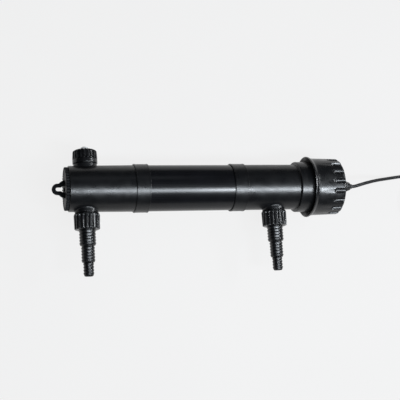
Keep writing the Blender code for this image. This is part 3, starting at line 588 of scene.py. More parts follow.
def make_looks():
    """Every material; sizes and depths are in metres."""
    plain = (0.0020, 0.0021, 0.0024), (0.012, 0.013, 0.014), (0.007, 0.007, 0.008)
    black("moulded_black", 0.30, plain, (0.02, 4.0, 0.3, 0.7, 0.27, 0.35), 0.12,
          (0.00055, 2.0, 0.00006, 0.55), (0.0022, 3.0, 0.00012, 0.5), (0.012, 2.0, 0.00025, 0.25))
    # The end cap is seen at a grazing angle, where a shinier black would look grey
    dull = (0.0045, 0.0047, 0.0054), (0.020, 0.021, 0.023), (0.012, 0.012, 0.013)
    black("matte_black", 0.06, dull, (0.02, 4.0, 0.3, 0.7, 0.42, 0.5), 0.12,
          (0.00055, 2.0, 0.0001, 0.6), (0.012, 2.0, 0.00025, 0.25))
    satin_tube()
    black("glossy_black", 0.40, plain, (0.015, 4.0, 0.3, 0.7, 0.24, 0.32), 0.18,
          (0.0007, 2.0, 0.00003, 0.4), (0.008, 2.0, 0.0002, 0.2))
    mottled("rubber", (0.006, 4.0, 0.4, 0.75), ((0.012, 0.012, 0.012), (0.028, 0.028, 0.029)),
            (0.004, 3.0, 0.3, 0.7, 0.6, 0.75), (0.0006, 3.0, 0.00006, 0.6), Specular_IOR_Level=0.3)
    mottled("cord_rubber", (0.01, 4.0, 0.4, 0.75), ((0.0040, 0.0040, 0.0044), (0.0080, 0.0080, 0.0086)),
            (0.006, 3.0, 0.3, 0.7, 0.42, 0.55), (0.0005, 3.0, 0.00004, 0.5), Specular_IOR_Level=0.22)
    mottled("lens", (0.006, 4.0, 0.3, 0.7), ((0.80, 0.83, 0.86), (0.90, 0.92, 0.94)),
            (0.003, 3.0, 0.3, 0.7, 0.18, 0.32), (0.0015, 2.0, 0.00005, 0.3),
            IOR=1.49, Transmission_Weight=0.15, Subsurface_Weight=0.25,
            Subsurface_Radius=(0.004, 0.004, 0.005), Subsurface_Scale=1.0)
    mottled("quartz", (0.02, 4.0, 0.4, 0.8), ((0.96, 0.98, 0.99), (0.88, 0.90, 0.90)),
            (0.05, 2.0, 0.35, 0.8, 0.02, 0.04), (0.05, 1.0, 0.0001, 0.05), IOR=1.46, Transmission_Weight=1.0)
    mottled("lamp_glass", (0.03, 3.0, 0.35, 0.75), ((0.86, 0.89, 0.93), (0.78, 0.82, 0.88)),
            (0.04, 3.0, 0.3, 0.7, 0.06, 0.09), (0.05, 1.0, 0.0001, 0.05), IOR=1.5, Transmission_Weight=0.7)
    mottled("lamp_white", (0.008, 4.0, 0.45, 0.8), ((0.72, 0.71, 0.68), (0.62, 0.60, 0.55)),
            (0.005, 3.0, 0.3, 0.7, 0.40, 0.52), (0.0008, 2.0, 0.00005, 0.5), Specular_IOR_Level=0.5)
    mottled("steel", (0.002, 4.0, 0.4, 0.75), ((0.62, 0.61, 0.59), (0.42, 0.41, 0.39)),
            (0.001, 3.0, 0.3, 0.7, 0.22, 0.42), (0.0006, 2.0, 0.00003, 0.5), Metallic=1.0)
    mottled("pale_floor", (0.4, 2.0, 0.3, 0.7), ((0.020, 0.020, 0.0205), (0.023, 0.023, 0.023)),
            (0.01, 3.0, 0.3, 0.7, 0.85, 0.95), Specular_IOR_Level=0.0,
            Emission_Color=(1.0, 1.0, 1.0, 1.0), Emission_Strength=0.835)


def wear(made, body, look, *nodes):
    """Gives a piece its finish, its body and the CAD nodes it stands for."""
    made.data.materials.clear()
    made.data.materials.append(LOOKS[look])
    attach(made, body)
    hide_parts(*nodes)
    return made


# ---------------------------------------------------------------- camera, light, floor


def make_camera():
    data = bpy.data.cameras.new("camera")
    data.sensor_width = 36.0
    data.lens = CAMERA_LENS
    data.clip_start = 0.01
    turn = (Matrix.Rotation(math.radians(CAMERA_ROLL), 3, "Z")
            @ Matrix.Rotation(math.radians(CAMERA_PITCH), 3, "X")
            @ Matrix.Rotation(math.radians(CAMERA_YAW), 3, "Y"))
    place = Matrix.Translation(CAMERA_AT) @ turn.transposed().to_4x4()
    bpy.context.scene.camera = shown("camera", data, place)


def soft_box(name, direction, distance, width, height, watts, colour):
    """An area light that faces the middle of the object from the direction."""
    data = bpy.data.lights.new(name, "AREA")
    data.shape = "RECTANGLE"
    data.size = width
    data.size_y = height
    data.energy = watts
    data.color = colour
    away = Vector(direction).normalized()
    along = (Vector((1, 0, 0)) - away * away.x).normalized()
    turn = Matrix((along, away.cross(along), away)).transposed().to_4x4()
    shown(name, data, Matrix.Translation(MIDDLE + away * distance) @ turn)


def make_stage():
    far = FLOOR_HALF
    points = [(-far, -far, 0), (far, -far, 0), (far, far, 0), (-far, far, 0)]
    floor = piece("floor", points, [(0, 1, 2, 3)], shift(0, 0, -0.2))
    floor.data.materials.append(LOOKS["pale_floor"])
    world = bpy.data.worlds.new("studio")
    world.use_nodes = True
    background = world.node_tree.nodes["Background"]
    background.inputs["Color"].default_value = (0.93, 0.95, 1.0, 1.0)
    background.inputs["Strength"].default_value = WORLD_STRENGTH
    bpy.context.scene.world = world
    for light in LIGHTS:
        soft_box(*light)
    bpy.context.scene.view_settings.view_transform = "Standard"


# ---------------------------------------------------------------- cord and plug


def winding(turn):
    """The coil's centreline after so many turns: out along a layer, then up and back."""
    per_layer = COIL_COLUMNS - 1 + COIL_CLIMB
    layer = min(int(turn / per_layer), COIL_LAYERS - 1)
    along = turn - layer * per_layer
    across = min(along, COIL_COLUMNS - 1)
    climb = max(0.0, along - across) / COIL_CLIMB
    column = across if layer % 2 else COIL_COLUMNS - 1 - across
    radius = COIL_MID_R + (column - (COIL_COLUMNS - 1) / 2) * 2 * CORD_R
    angle = math.pi / 2 - 2 * math.pi * turn
    height = FLOOR + 0.5 + CORD_R + (layer + climb) * 2 * CORD_R
    return (COIL_CENTRE[0] + radius * math.cos(angle), COIL_CENTRE[1] + radius * math.sin(angle), height)


def make_cord():
    coil = [winding(i / COIL_STEPS) for i in range(COIL_TURNS * COIL_STEPS + 1)]
    route = [*CORD_ROUTE, *coil, *PLUG_ROUTE]
    curve = bpy.data.curves.new("flex", "CURVE")
    curve.dimensions = "3D"
    curve.bevel_depth = CORD_R * MM
    curve.bevel_resolution = 5
    curve.resolution_u = 6
    curve.use_fill_caps = True
    spline = curve.splines.new("BEZIER")
    spline.bezier_points.add(len(route) - 1)
    for point, where in zip(spline.bezier_points, route):
        point.co = MM * Vector(where)
        point.handle_left_type = point.handle_right_type = "AUTO"
    return wear(shown("flex", curve, TUBE), "head", "cord_rubber", "cord", "cord_coil", "cord_end")


def plug_place():
    start, before = Vector(PLUG_ROUTE[-1]), Vector(PLUG_ROUTE[-2])
    heading = math.atan2(start.y - before.y, start.x - before.x)
    spot = shift(start.x, start.y, FLOOR + PLUG_HEIGHT / 2 + 0.1)
    return TUBE @ spot @ Matrix.Rotation(heading, 4, "Z") @ TO_PLUS_X


def plug_section(share):
    """Half height and half width of the plug body, from its boot to its face."""
    swell = math.sin(math.pi / 2 * min(1.0, share / 0.28))
    waist = 1 - 0.14 * math.exp(-((share - 0.42) / 0.2) ** 2)
    face = 1 - 0.05 * max(0.0, (share - 0.94) / 0.06) ** 2
    half_width = (7.0 + (PLUG_WIDTH / 2 - 7.0) * swell) * waist * face
    half_height = (5.6 + (PLUG_HEIGHT / 2 - 5.6) * swell) * face
    return half_height, half_width


def make_plug():
    """A flat two-pin plug with a waisted grip and a grooved boot."""
    place = plug_place()
    slices, steps = 40, 64
    rows = []
    for i in range(slices + 1):
        share = i / slices
        high, wide = plug_section(share)
        grip = 0.3 * max(0.0, math.sin(share * 30 * math.pi)) if 0.3 < share < 0.6 else 0.0
        row = []
        for k in range(steps):
            angle = angle_of(k, steps)
            c, s = math.cos(angle), math.sin(angle)
            x = (high - grip) * math.copysign(abs(c) ** 0.62, c)
            y = (wide - grip) * math.copysign(abs(s) ** 0.62, s)
            row.append((x, y, BOOT_LENGTH + PLUG_LENGTH * share))
        rows.append(row)
    face = BOOT_LENGTH + PLUG_LENGTH
    rows = [[(0, 0, BOOT_LENGTH)] * steps, *rows, [(0, 0, face)] * steps]
    body = rings("plug_shell", rows, place, closed=False)
    wear(body, "head", "cord_rubber", "plug_body")
    corners = [(CORD_R + 0.1, 0.6), (CORD_R + 1.0, 0.6, 0.4)]
    for i in range(BOOT_RINGS):
        base = 3.0 + 3.4 * i
        radius = CORD_R + 1.1 + 0.42 * i
        corners += [(radius, base), (radius - 0.9, base + 0.3), (radius - 0.9, base + 1.4),
                    (radius + 0.15, base + 1.7)]
    corners += [(6.6, BOOT_LENGTH + 3), (CORD_R + 0.1, BOOT_LENGTH + 3)]
    boot = lathe("plug_boot", rounded(corners), 40, place)
    wear(boot, "head", "cord_rubber", "plug_body")
    pins = []
    for index, side in enumerate((-1, 1)):
        spot = place @ shift(0, side * PIN_SPACING / 2, face)
        corners = [(0.0, 0.0), (PIN_R - 0.15, 0.0), (PIN_R - 0.15, 10), (PIN_R, 10.2),
                   (PIN_R, PIN_LENGTH, 1.5), (0.0, PIN_LENGTH)]
        pin = lathe(f"plug_pin_{index + 1}_turned", rounded(corners), 32, spot)
        pins.append(wear(pin, "head", "steel", f"plug_pin_{index + 1}"))
        corners = [(PIN_R - 0.2, 0.0), (PIN_R, 0.0), (PIN_R, 9.6, 0.2), (PIN_R - 0.2, 9.6)]
        pins.append(wear(lathe(f"pin_sleeve_{index + 1}", rounded(corners), 32, spot), "head", "cord_rubber"))
    return [body, boot, *pins]


def make_tie():
    """A thin strap round the coil's winding, where the cord's two ends are furthest away."""
    half_wide = COIL_COLUMNS * CORD_R + 0.15
    high = COIL_LAYERS * 2 * CORD_R + 0.3
    thick, half_strap = 0.35, 4.5
    low = FLOOR + 0.5 - thick - 0.05

    def loop(grow):
        corners = [(-half_wide - grow, low + thick - grow, 3), (half_wide + grow, low + thick - grow, 3),
                   (half_wide + grow, low + high + thick + grow, 3),
                   (-half_wide - grow, low + high + thick + grow, 3)]
        return rounded(corners, 6)

    rows = []
    for grow, side in ((0.0, -1), (thick, -1), (thick, 1), (0.0, 1)):
        rows.append([(side * half_strap, across, up) for across, up in loop(grow)])
    place = TUBE @ shift(COIL_CENTRE[0], COIL_CENTRE[1] - COIL_MID_R, 0)
    return wear(rings("coil_tie", rows, place), "head", "cord_rubber")


# ---------------------------------------------------------------- tube, housings, brackets


def port_boss(name, place, wall_r):
    """A boss that flows out of the round wall, and its threaded spigot."""
    steps = 120
    root = PORT_R - PORT_DEPTH
    thread_start = BOSS_TOP + 1.5
    skirt = [(BOSS_R - 2, -6), (BOSS_R + BOSS_FILLET, -0.6)]
    for k in range(7):
        angle = math.radians(90 - 15 * k)
        skirt.append((BOSS_R + BOSS_FILLET * (1 - math.cos(angle)), BOSS_FILLET * (1 - math.sin(angle))))
    top = rounded([(BOSS_R, BOSS_TOP - 1.6), (BOSS_R, BOSS_TOP, 0.8), (root, BOSS_TOP),
                   (root, PORT_TOP, 0.5), (0.0, PORT_TOP)])
    top = [point for point in refined(top, 0.25) if point[1] > BOSS_TOP - 1.7]
    top = top[:next(i for i, point in enumerate(top) if point[0] < TINY) + 1]
    thread = threaded(PORT_R, PORT_DEPTH, PORT_PITCH, thread_start, PORT_TOP - 1)
    rows = [[(0.0, 0.0, 30.0)] * steps]
    for radius, lift in skirt:
        rows.append([saddle(angle_of(k, steps), radius, lift, wall_r) for k in range(steps)])
    for radius, station in top:
        row = []
        for k in range(steps):
            angle = angle_of(k, steps)
            on_thread = abs(radius - root) < 0.05 and station >= thread_start
            reach = thread(angle, PORT_R, station) if on_thread else radius
            row.append((reach * math.cos(angle), reach * math.sin(angle), station))
        rows.append(row)
    return rings(name, rows, place, closed=False)


def saddle(angle, radius, lift, wall_r):
    """A point at the radius about the port, at a height over the round wall."""
    across = radius * math.sin(angle)
    return (radius * math.cos(angle), across, math.sqrt(wall_r ** 2 - across ** 2) + lift)


def make_left_housing():
    inner = TUBE_R - TUBE_WALL - GAP
    outline = rounded([(0.0, LEFT_END), (HOUSING_TIP_R, LEFT_END, 0.8), (HOUSING_R, LEFT_SEAM, 0.5),
                       (inner, LEFT_SEAM), (inner, LEFT_SEAM + SPIGOT), (0.0, LEFT_SEAM + SPIGOT)])
    housing = lathe("left_housing_shell", outline, 180, AXIS)
    share = (LEFT_PORT_X - LEFT_END) / (LEFT_SEAM - LEFT_END)
    wall = HOUSING_TIP_R + (HOUSING_R - HOUSING_TIP_R) * share
    bosses = [port_boss("boss", LEFT_PORT, wall), port_boss("sight_boss", SIGHT_PORT, wall)]
    combine(housing, bosses, "UNION")
    step = HOUSING_BORE_R - 2.5
    bore = [(0.0, LEFT_END - 10), (HOUSING_BORE_R, LEFT_END - 10), (HOUSING_BORE_R, LEFT_SEAM - 6),
            (step, LEFT_SEAM), (step, LEFT_SEAM + 30), (0.0, LEFT_SEAM + 30)]
    combine(housing, [rod("b1", PORT_BORE_R, 0, 80, 64, LEFT_PORT),
                      rod("b2", PORT_BORE_R, 0, 80, 64, SIGHT_PORT), lathe("bore", bore, 120, AXIS)])
    wear(housing, "vessel", "moulded_black", "left_housing")


def make_right_housing():
    inner = TUBE_R - TUBE_WALL - GAP
    root = THREAD_R - THREAD_DEPTH
    outline = rounded([
        (0.0, RIGHT_SEAM - SPIGOT), (inner, RIGHT_SEAM - SPIGOT), (inner, RIGHT_SEAM),
        (HOUSING_R, RIGHT_SEAM, 0.5), (HOUSING_R, COLLAR_START, 1.0),
        (COLLAR_R, COLLAR_START, 3.6), (COLLAR_R, THREAD_START, 0.6),
        (root, THREAD_START, 0.4), (root, THREAD_END, 0.8), (0.0, THREAD_END)])
    thread = threaded(THREAD_R, THREAD_DEPTH, THREAD_PITCH, RIDGE_START, RIDGE_END)

    def shape(angle, radius, station):
        on_thread = abs(radius - root) < 0.05 and RIDGE_START < station < RIDGE_END
        return thread(angle, THREAD_R, station) if on_thread else radius

    rows = [point for point in refined(outline, 0.5) if point[1] >= THREAD_START or point in outline]
    housing = lathe("right_housing_shell", rows, 180, AXIS, shape)
    combine(housing, [port_boss("boss", RIGHT_PORT, HOUSING_R)], "UNION")
    step = HOUSING_BORE_R - 2.5
    bore = [(0.0, RIGHT_SEAM - 50), (step, RIGHT_SEAM - 50), (step, RIGHT_SEAM),
            (HOUSING_BORE_R, RIGHT_SEAM + 6), (HOUSING_BORE_R, COLLAR_START),
            (COLLAR_BORE_R, THREAD_START), (COLLAR_BORE_R, THREAD_END + 10), (0.0, THREAD_END + 10)]
    combine(housing, [lathe("bore", bore, 120, AXIS), rod("b1", PORT_BORE_R, 0, 80, 64, RIGHT_PORT)])
    wear(housing, "vessel", "moulded_black", "right_housing")


def make_tube():
    low, high, inner = LEFT_SEAM + GAP, RIGHT_SEAM - GAP, TUBE_R - TUBE_WALL
    outline = rounded([(inner, low), (TUBE_R, low, 0.4), (TUBE_R, high, 0.4), (inner, high)])
    wear(lathe("tube_shell", outline, 180, AXIS), "vessel", "satin_tube", "centre_tube")


def make_band(name, seam, node):
    """A ring round the seam with raised rims, a ribbed neck and a foot with two screw holes."""
    low, high = seam - BAND_WIDTH / 2, seam + BAND_WIDTH / 2
    rim, sunk = 2.2, BAND_R - 0.35
    outline = rounded([
        (BAND_BORE_R, low), (BAND_R, low, 0.5), (BAND_R, low + rim, 0.3),
        (sunk, low + rim, 0.2), (sunk, high - rim, 0.2),
        (BAND_R, high - rim, 0.3), (BAND_R, high, 0.5), (BAND_BORE_R, high)])
    band = lathe(name, outline, 180, AXIS)
    neck = block("neck", (low + 1, -NECK_HALF, FLOOR + 1), (high - 1, NECK_HALF, -20), 1.5, TUBE)
    foot = block("foot", (low, -FOOT_HALF, FLOOR), (high, FOOT_HALF, FLOOR + FOOT_THICKNESS), 1.2, TUBE)
    ribs = []
    for side in (-1, 1):
        wedge = [(side * (NECK_HALF - 1), FLOOR + 4), (side * (FOOT_HALF - 12), FLOOR + 4),
                 (side * (NECK_HALF - 1), FLOOR + 16)]
        lift = TUBE @ shift(seam, 0, 0) @ Matrix.Rotation(math.pi / 2, 4, "Z") @ TO_MINUS_Y
        ribs.append(prism("rib", [wedge[::side]], -1.5, 1.5, 0.4, lift))
    outside = rod("outside", BAND_BORE_R, low - 10, high + 10, 180, AXIS)
    holes = []
    for side in (-1, 1):
        spot = TUBE @ shift(seam, side * FOOT_HOLE_Y, FLOOR)
        sink = [(0.0, -10), (FOOT_HOLE_R, -10), (FOOT_HOLE_R, FOOT_THICKNESS - 2.4),
                (FOOT_HOLE_R + 2.6, FOOT_THICKNESS + 0.2), (FOOT_HOLE_R + 2.6, 20), (0.0, 20)]
        holes.append(lathe("sink", sink, 48, spot))
    combine(band, [combine(neck, [outside]), foot, *ribs], "UNION")
    combine(band, holes)
    wear(band, "vessel", "moulded_black", node)


def lug_outline():
    """Two discs joined by small concave fillets: a round tip on a wider root."""
    tip_x = LUG_TIP_X + LUG_TIP_R
    span = LUG_ROOT_X - tip_x
    a, b = LUG_TIP_R + LUG_FILLET, LUG_ROOT_R + LUG_FILLET
    along = (a * a - b * b + span * span) / (2 * span)
    across = math.sqrt(a * a - along * along)
    tip_angle = math.degrees(math.atan2(across, along))
    root_angle = math.degrees(math.atan2(across, along - span))
    upper = arc((tip_x, 0), LUG_TIP_R, 180, tip_angle, 40)
    upper += arc((tip_x + along, across), LUG_FILLET, tip_angle - 180, root_angle - 180, 8)
    upper += arc((LUG_ROOT_X, 0), LUG_ROOT_R, root_angle, 90, 16)[1:]
    lower = [(x, -y) for x, y in upper[1:]]
    return upper + lower[::-1]


def key_outline():
    """A round hole with a narrower slot towards the tip."""
    open_angle = math.degrees(math.asin(KEY_SLOT_R / KEY_HOLE_R))
    outline = arc((KEY_HOLE_X, 0), KEY_HOLE_R, open_angle - 180, 180 - open_angle, 60)
    outline += arc((KEY_SLOT_X, 0), KEY_SLOT_R, 90, 270, 32)
    return outline


def make_end_cap():
    """A plug with a toothed rim, and the lug with its keyhole."""
    plug_end = LEFT_END + 12
    inner = HOUSING_BORE_R - GAP
    outline = rounded([
        (0.0, CAP_FACE), (CAP_R - CAP_RIM, CAP_FACE, 0.4), (CAP_R - CAP_RIM, CAP_END, 0.4),
        (CAP_R, CAP_END, 0.7), (CAP_R, LEFT_END - GAP, 0.3),
        (inner, LEFT_END - GAP), (inner, plug_end), (inner - 3, plug_end),
        (inner - 3, LEFT_END - 2), (0.0, LEFT_END - 2)])

    def notch(angle):
        return TOOTH_DEPTH * max(0.0, 0.25 - math.cos(angle * CAP_TEETH)) / 1.25

    def teeth(angle, radius, station):
        outside = radius > CAP_R - 0.8 and station < LEFT_END
        return radius - notch(angle) if outside else radius

    cap = lathe("end_cap_toothed", outline, CAP_TEETH * 10, AXIS, teeth)
    for vertex in cap.data.vertices:
        x, y, station = vertex.co / MM
        if math.hypot(x, y) > CAP_R - CAP_RIM - 0.001 and station < CAP_END + 1:
            vertex.co.z += MM * 1.7 * notch(math.atan2(y, x))
    tidy(cap.data)
    lug = prism("hanging_lug", [lug_outline(), key_outline()], -LUG_THICKNESS, 0, LUG_EDGE, TUBE)
    trim = block("trim", (LEFT_END - 1.8, -30, -30), (LEFT_END + 50, 30, 30), 1, TUBE)
    combine(lug, [trim])
    key = prism("key", [key_outline()], -18, 12, 0.05, TUBE)
    combine(cap, [key])
    wear(cap, "vessel", "matte_black", "end_cap")
    wear(lug, "vessel", "matte_black", "end_cap")


# ---------------------------------------------------------------- unions and sight cap


def make_union_nut(name, place, body, node):
    lip = PORT_TOP + SEAL + 3 * GAP + TAIL_FLANGE
    outline = rounded([
        (NUT_BORE_R, NUT_BASE, 0.5), (NUT_R - 1.2, NUT_BASE, 1.2), (NUT_R, NUT_BASE + 3.2, 2.2),
        (NUT_R - 0.6, NUT_TOP - 1.2, 1.6), (NUT_R - 3.4, NUT_TOP, 1.0),
        (NUT_HOLE_R, NUT_TOP, 0.4), (NUT_HOLE_R, lip), (NUT_BORE_R, lip)])
    ribs = grooved(NUT_RIBS, 2.6, NUT_R + 0.3, NUT_BASE + 2.5, 0.5, beyond=NUT_BORE_R + 0.2)
    nut = lathe(name, refined(outline, 0.9), NUT_RIBS * 14, place, ribs)
    wear(nut, body, "glossy_black", node)


def barbed_side(start):
    """The outer corners of the hose tail, from the union outwards."""
    corners = []
    station = start
    for index, (radius, end) in enumerate(TAIL_SECTIONS):
        last = index == len(TAIL_SECTIONS) - 1
        root = radius - BARB_DEPTH
        shoulder = 1.5 if last else SHOULDER
        first = end - shoulder - BARBS[index] * BARB_PITCH
        corners += [(root, station, 0.5), (root, first, 0.8)]
        for i in range(BARBS[index]):
            base = first + i * BARB_PITCH
            corners += [(radius, base + 0.9, 0.3), (radius - 0.1, base + 2.0, 0.7),
                        (root, base + BARB_PITCH - 0.5, 0.4)]
        if last:
            corners += [(root, end - 1.6, 0.8), (root - 0.9, end, 0.5)]
        station = end
    return corners


def make_tail(name, place, body, node):
    base = PORT_TOP + SEAL + 2 * GAP
    flange_r, flange_top = NUT_BORE_R - 1, base + TAIL_FLANGE
    radius, tip = TAIL_SECTIONS[-1]
    bore = radius - TAIL_WALL
    outline = rounded([
        (PORT_BORE_R - 2.4, base), (flange_r, base), (flange_r, flange_top), (TAIL_NECK_R, flange_top),
        (TAIL_NECK_R, NUT_TOP + 0.5, 0.3), *barbed_side(NUT_TOP + 0.7),
        (bore, tip, 0.5), (bore, TAIL_SECTIONS[1][1])])
    wear(lathe(name, outline, 128, place), body, "glossy_black", node)


def make_sight_cap():
    base = PORT_TOP + SEAL + 2 * GAP
    lip = base + LENS_FLANGE + GAP
    centre = (0, DOME_TOP - DOME_R)
    outline = [(PORT_R - 1, base), (PORT_R - 1, base + LENS_FLANGE), (DOME_R, base + LENS_FLANGE)]
    outline += arc(centre, DOME_R, 0, 90, 16)
    outline += arc(centre, DOME_R - DOME_WALL, 90, 0, 14)
    outline += [(DOME_R - DOME_WALL, base)]
    lens = lathe("sight_dome", on_axis(outline), 96, SIGHT_PORT)
    wear(lens, "sight_glass", "lens", "sight_lens")
    outline = rounded([
        (NUT_BORE_R, SIGHT_BASE), (SIGHT_R, SIGHT_BASE, 0.8), (SIGHT_R, SIGHT_BASE + 7.4, 0.4),
        (SIGHT_R - 0.9, SIGHT_BASE + 7.8), (SIGHT_R - 0.9, SIGHT_BASE + 8.4),
        (SIGHT_R, SIGHT_BASE + 8.8, 0.4), (SIGHT_R - 0.9, SIGHT_SHOULDER, 2.4),
        (SIGHT_R - 4.5, SIGHT_TOP - 2.4, 2.2), (SIGHT_R - 8.0, SIGHT_TOP - 1.2, 1.2),
        (DOME_R + 1.0, SIGHT_TOP - 1.2, 0.4), (DOME_R + 0.5, SIGHT_TOP - 2.0),
        (DOME_R + 0.5, lip), (NUT_BORE_R, lip)])
    ribs = grooved(NUT_RIBS, 2.5, SIGHT_R + 0.2, SIGHT_BASE + 8.6, 0.5, 0.12, DOME_R + 4)

    def shape(angle, radius, station):
        outside = radius > NUT_BORE_R + 0.1 or station > lip + 1
        return ribs(angle, radius, station) if outside else radius

    nut = lathe("sight_nut_crowned", refined(outline, 0.9), NUT_RIBS * 14, SIGHT_PORT, shape)
    wear(nut, "sight_cap", "glossy_black", "sight_nut")


# ---------------------------------------------------------------- lamp head


def make_lock_ring():
    hollow = RING_END - RING_PLATE
    barrel = LIP_X + 12
    outline = rounded([
        (LIP_R - 1.8, LIP_X, 0.4), (LIP_R, LIP_X, 0.5), (LIP_R - 0.5, LIP_X + 2.4, 0.8),
        (RING_R + 0.4, LIP_X + 7.5, 1.6), (RING_R, barrel, 2.5), (RING_R - 1.2, RING_END - 3.0, 7.5),
        (RING_R - 8.0, RING_END, 5.0), (RING_HOLE_R, RING_END, 0.8), (RING_HOLE_R, hollow),
        (RING_BORE_R, hollow), (RING_BORE_R, barrel)], 8)
    flutes = grooved(FLUTES, FLUTE_R, RING_R + 0.2, FLUTE_START, 1.2, 0.04)
    pitch = 2 * math.pi / FLUTES

    def shape(angle, radius, station):
        if radius < RING_BORE_R + 2 or station < barrel:
            return radius
        off = abs((angle + pitch / 2) % pitch - pitch / 2) * radius
        lead = max(0.0, 1 - (off / 4.2) ** 2)
        fade = min(1.0, max(0.0, (station - barrel - 4) / 26))
        return flutes(angle, radius - 0.35 * lead * fade, station)

    ring = lathe("lock_ring_fluted", refined(outline, 1.2), FLUTES * 20, AXIS, shape)
    wear(ring, "lock_ring", "glossy_black", "lock_ring")


def screw_places():
    """Where the cover screws sit about the tube's axis."""
    for i in range(COVER_SCREWS):
        turn = Matrix.Rotation(2 * math.pi * (i + 0.25) / COVER_SCREWS, 4, "Z")
        yield AXIS @ turn @ shift(COVER_SCREW_R, 0, 0)


def make_head():
    start = THREAD_END + SEAL + 2 * GAP
    end = RING_END - RING_PLATE - GAP
    opening = COVER_R - 5
    outline = rounded([
        (HEAD_CAVITY_R, HEAD_INNER_X), (HEAD_PLUG_R, HEAD_INNER_X, 0.8), (HEAD_PLUG_R, start),
        (HEAD_R, start, 0.5), (HEAD_R, end, 0.8), (opening, end), (opening, end - 4.5),
        (HEAD_CAVITY_R, end - 4.5)])
    wear(lathe("head_drum", outline, 144, AXIS), "head", "moulded_black", "lamp_head")
    low, inside, spigot = end + GAP, end - 6.5, opening - 0.5
    outline = rounded([
        (COVER_HOLE_R, inside), (spigot, inside), (spigot, low), (COVER_R, low, 0.4),
        (COVER_R, COVER_END, 1.0), (27.5, COVER_END, 0.6), (26.5, COVER_END - 1, 0.5),
        (15.0, COVER_END - 1, 0.5), (14.0, COVER_END, 0.6), (COVER_HOLE_R, COVER_END)])
    cover = lathe("cover_dished", outline, 144, AXIS)
    bores = []
    for spot in screw_places():
        bores.append(rod("bore", SCREW_HEAD_R + 0.4, COVER_END - SCREW_RECESS, COVER_END + 10, 40, spot))
        bores.append(rod("bore", SCREW_R + 0.4, end - 1, COVER_END + 10, 32, spot))
    combine(cover, bores)
    wear(cover, "head", "moulded_black", "end_cover")
    for index, spot in enumerate(screw_places()):
        make_screw(index, end, spot)


def make_screw(index, end, spot):
    """A pan-head screw with a cross recess."""
    seat = COVER_END - SCREW_RECESS + GAP
    top = seat + SCREW_HEAD
    outline = rounded([
        (0.0, end - 4), (SCREW_R, end - 4), (SCREW_R, seat), (SCREW_HEAD_R, seat, 0.2),
        (SCREW_HEAD_R, top, 1.2), (0.0, top)])
    screw = lathe(f"cover_screw_{index + 1}_head", outline, 40, spot)
    arms = [block("arm", (-1.6, -0.3, top - 1), (1.6, 0.3, top + 1), 0.1, spot),
            block("arm", (-0.3, -1.6, top - 1), (0.3, 1.6, top + 1), 0.1, spot)]
    combine(screw, arms)
    wear(screw, "head", "steel", f"cover_screw_{index + 1}")


def make_inner_head():
    """The plate and boss that hold the quartz sleeve, and the ring nut that seals it."""
    plug_r = HEAD_CAVITY_R - GAP
    inner = SLEEVE_R + 0.4
    lamp_gap = LAMP_TUBE_R + LAMP_TUBE_SPACING / 2 + 1.2
    outline = rounded([
        (inner, PLATE_START), (PLATE_R, PLATE_START, 0.4), (PLATE_R, HEAD_INNER_X - 1, 0.8),
        (PLATE_R + 4, HEAD_INNER_X, 0.6), (plug_r, HEAD_INNER_X), (plug_r, HEAD_INNER_X + 6),
        (lamp_gap, HEAD_INNER_X + 6), (lamp_gap, SLEEVE_MOUTH + GAP), (inner, SLEEVE_MOUTH + GAP)])
    wear(lathe("head_plate", outline, 128, AXIS), "head", "moulded_black", "head_base")
    low, high, bore, hole = SLEEVE_NUT_START, SLEEVE_NUT_END, SLEEVE_NUT_BORE_R, SLEEVE_R + 0.5
    outline = rounded([
        (bore, high), (SLEEVE_NUT_R, high, 0.5), (SLEEVE_NUT_R, low, 1.2),
        (hole, low, 0.4), (hole, low + 3.7), (bore, low + 3.7)])
    grip = grooved(SLEEVE_NUT_GRIPS, 1.6, SLEEVE_NUT_R + 0.7, low - 2, 0.4, beyond=bore + 1)
    nut = lathe("sleeve_nut_grip", refined(outline, 1.2), SLEEVE_NUT_GRIPS * 12, AXIS, grip)
    wear(nut, "sleeve_gland", "moulded_black", "sleeve_nut")


def make_sleeve():
    centre = (0, SLEEVE_TIP + SLEEVE_R)
    outline = arc(centre, SLEEVE_R, 270, 360, 14)
    outline += [(SLEEVE_R, SLEEVE_MOUTH), (SLEEVE_R - SLEEVE_WALL, SLEEVE_MOUTH)]
    outline += arc(centre, SLEEVE_R - SLEEVE_WALL, 0, -90, 14)
    wear(lathe("sleeve_glass", on_axis(outline), 96, AXIS), "head", "quartz", "quartz_sleeve")


def make_lamp():
    """Two glass legs with a bridge near the tip, and a white collar on each."""
    half = LAMP_TUBE_SPACING / 2
    legs = []
    for side in (-1, 1):
        spot = AXIS @ shift(0, side * half, 0)
        outline = arc((0, LAMP_TIP + LAMP_TUBE_R), LAMP_TUBE_R, 270, 360, 10)
        outline += [(LAMP_TUBE_R, LAMP_FOOT), (0.0, LAMP_FOOT)]
        legs.append(lathe(f"lamp_leg_{side}", on_axis(outline), 48, spot))
    bridge = rod("bridge", LAMP_BRIDGE_R, -half, half, 32, TUBE @ shift(LAMP_TIP + 16, 0, 0) @ TO_MINUS_Y)
    legs[0].name = "lamp_legs"
    combine(legs[0], [legs[1], bridge], "UNION")
    wear(legs[0], "head", "lamp_glass", "lamp_tubes")
    for index, side in enumerate((-1, 1)):
        spot = AXIS @ shift(0, side * half, 0)
        inner, outer, end = LAMP_TUBE_R - 0.2, LAMP_TUBE_R + 0.25, LAMP_FOOT - GAP
        outline = rounded([(inner, LAMP_COLLAR), (outer, LAMP_COLLAR, 0.2), (outer, end), (inner, end)])
        wear(lathe(f"lamp_collar_{index + 1}", outline, 48, spot), "head", "lamp_white")


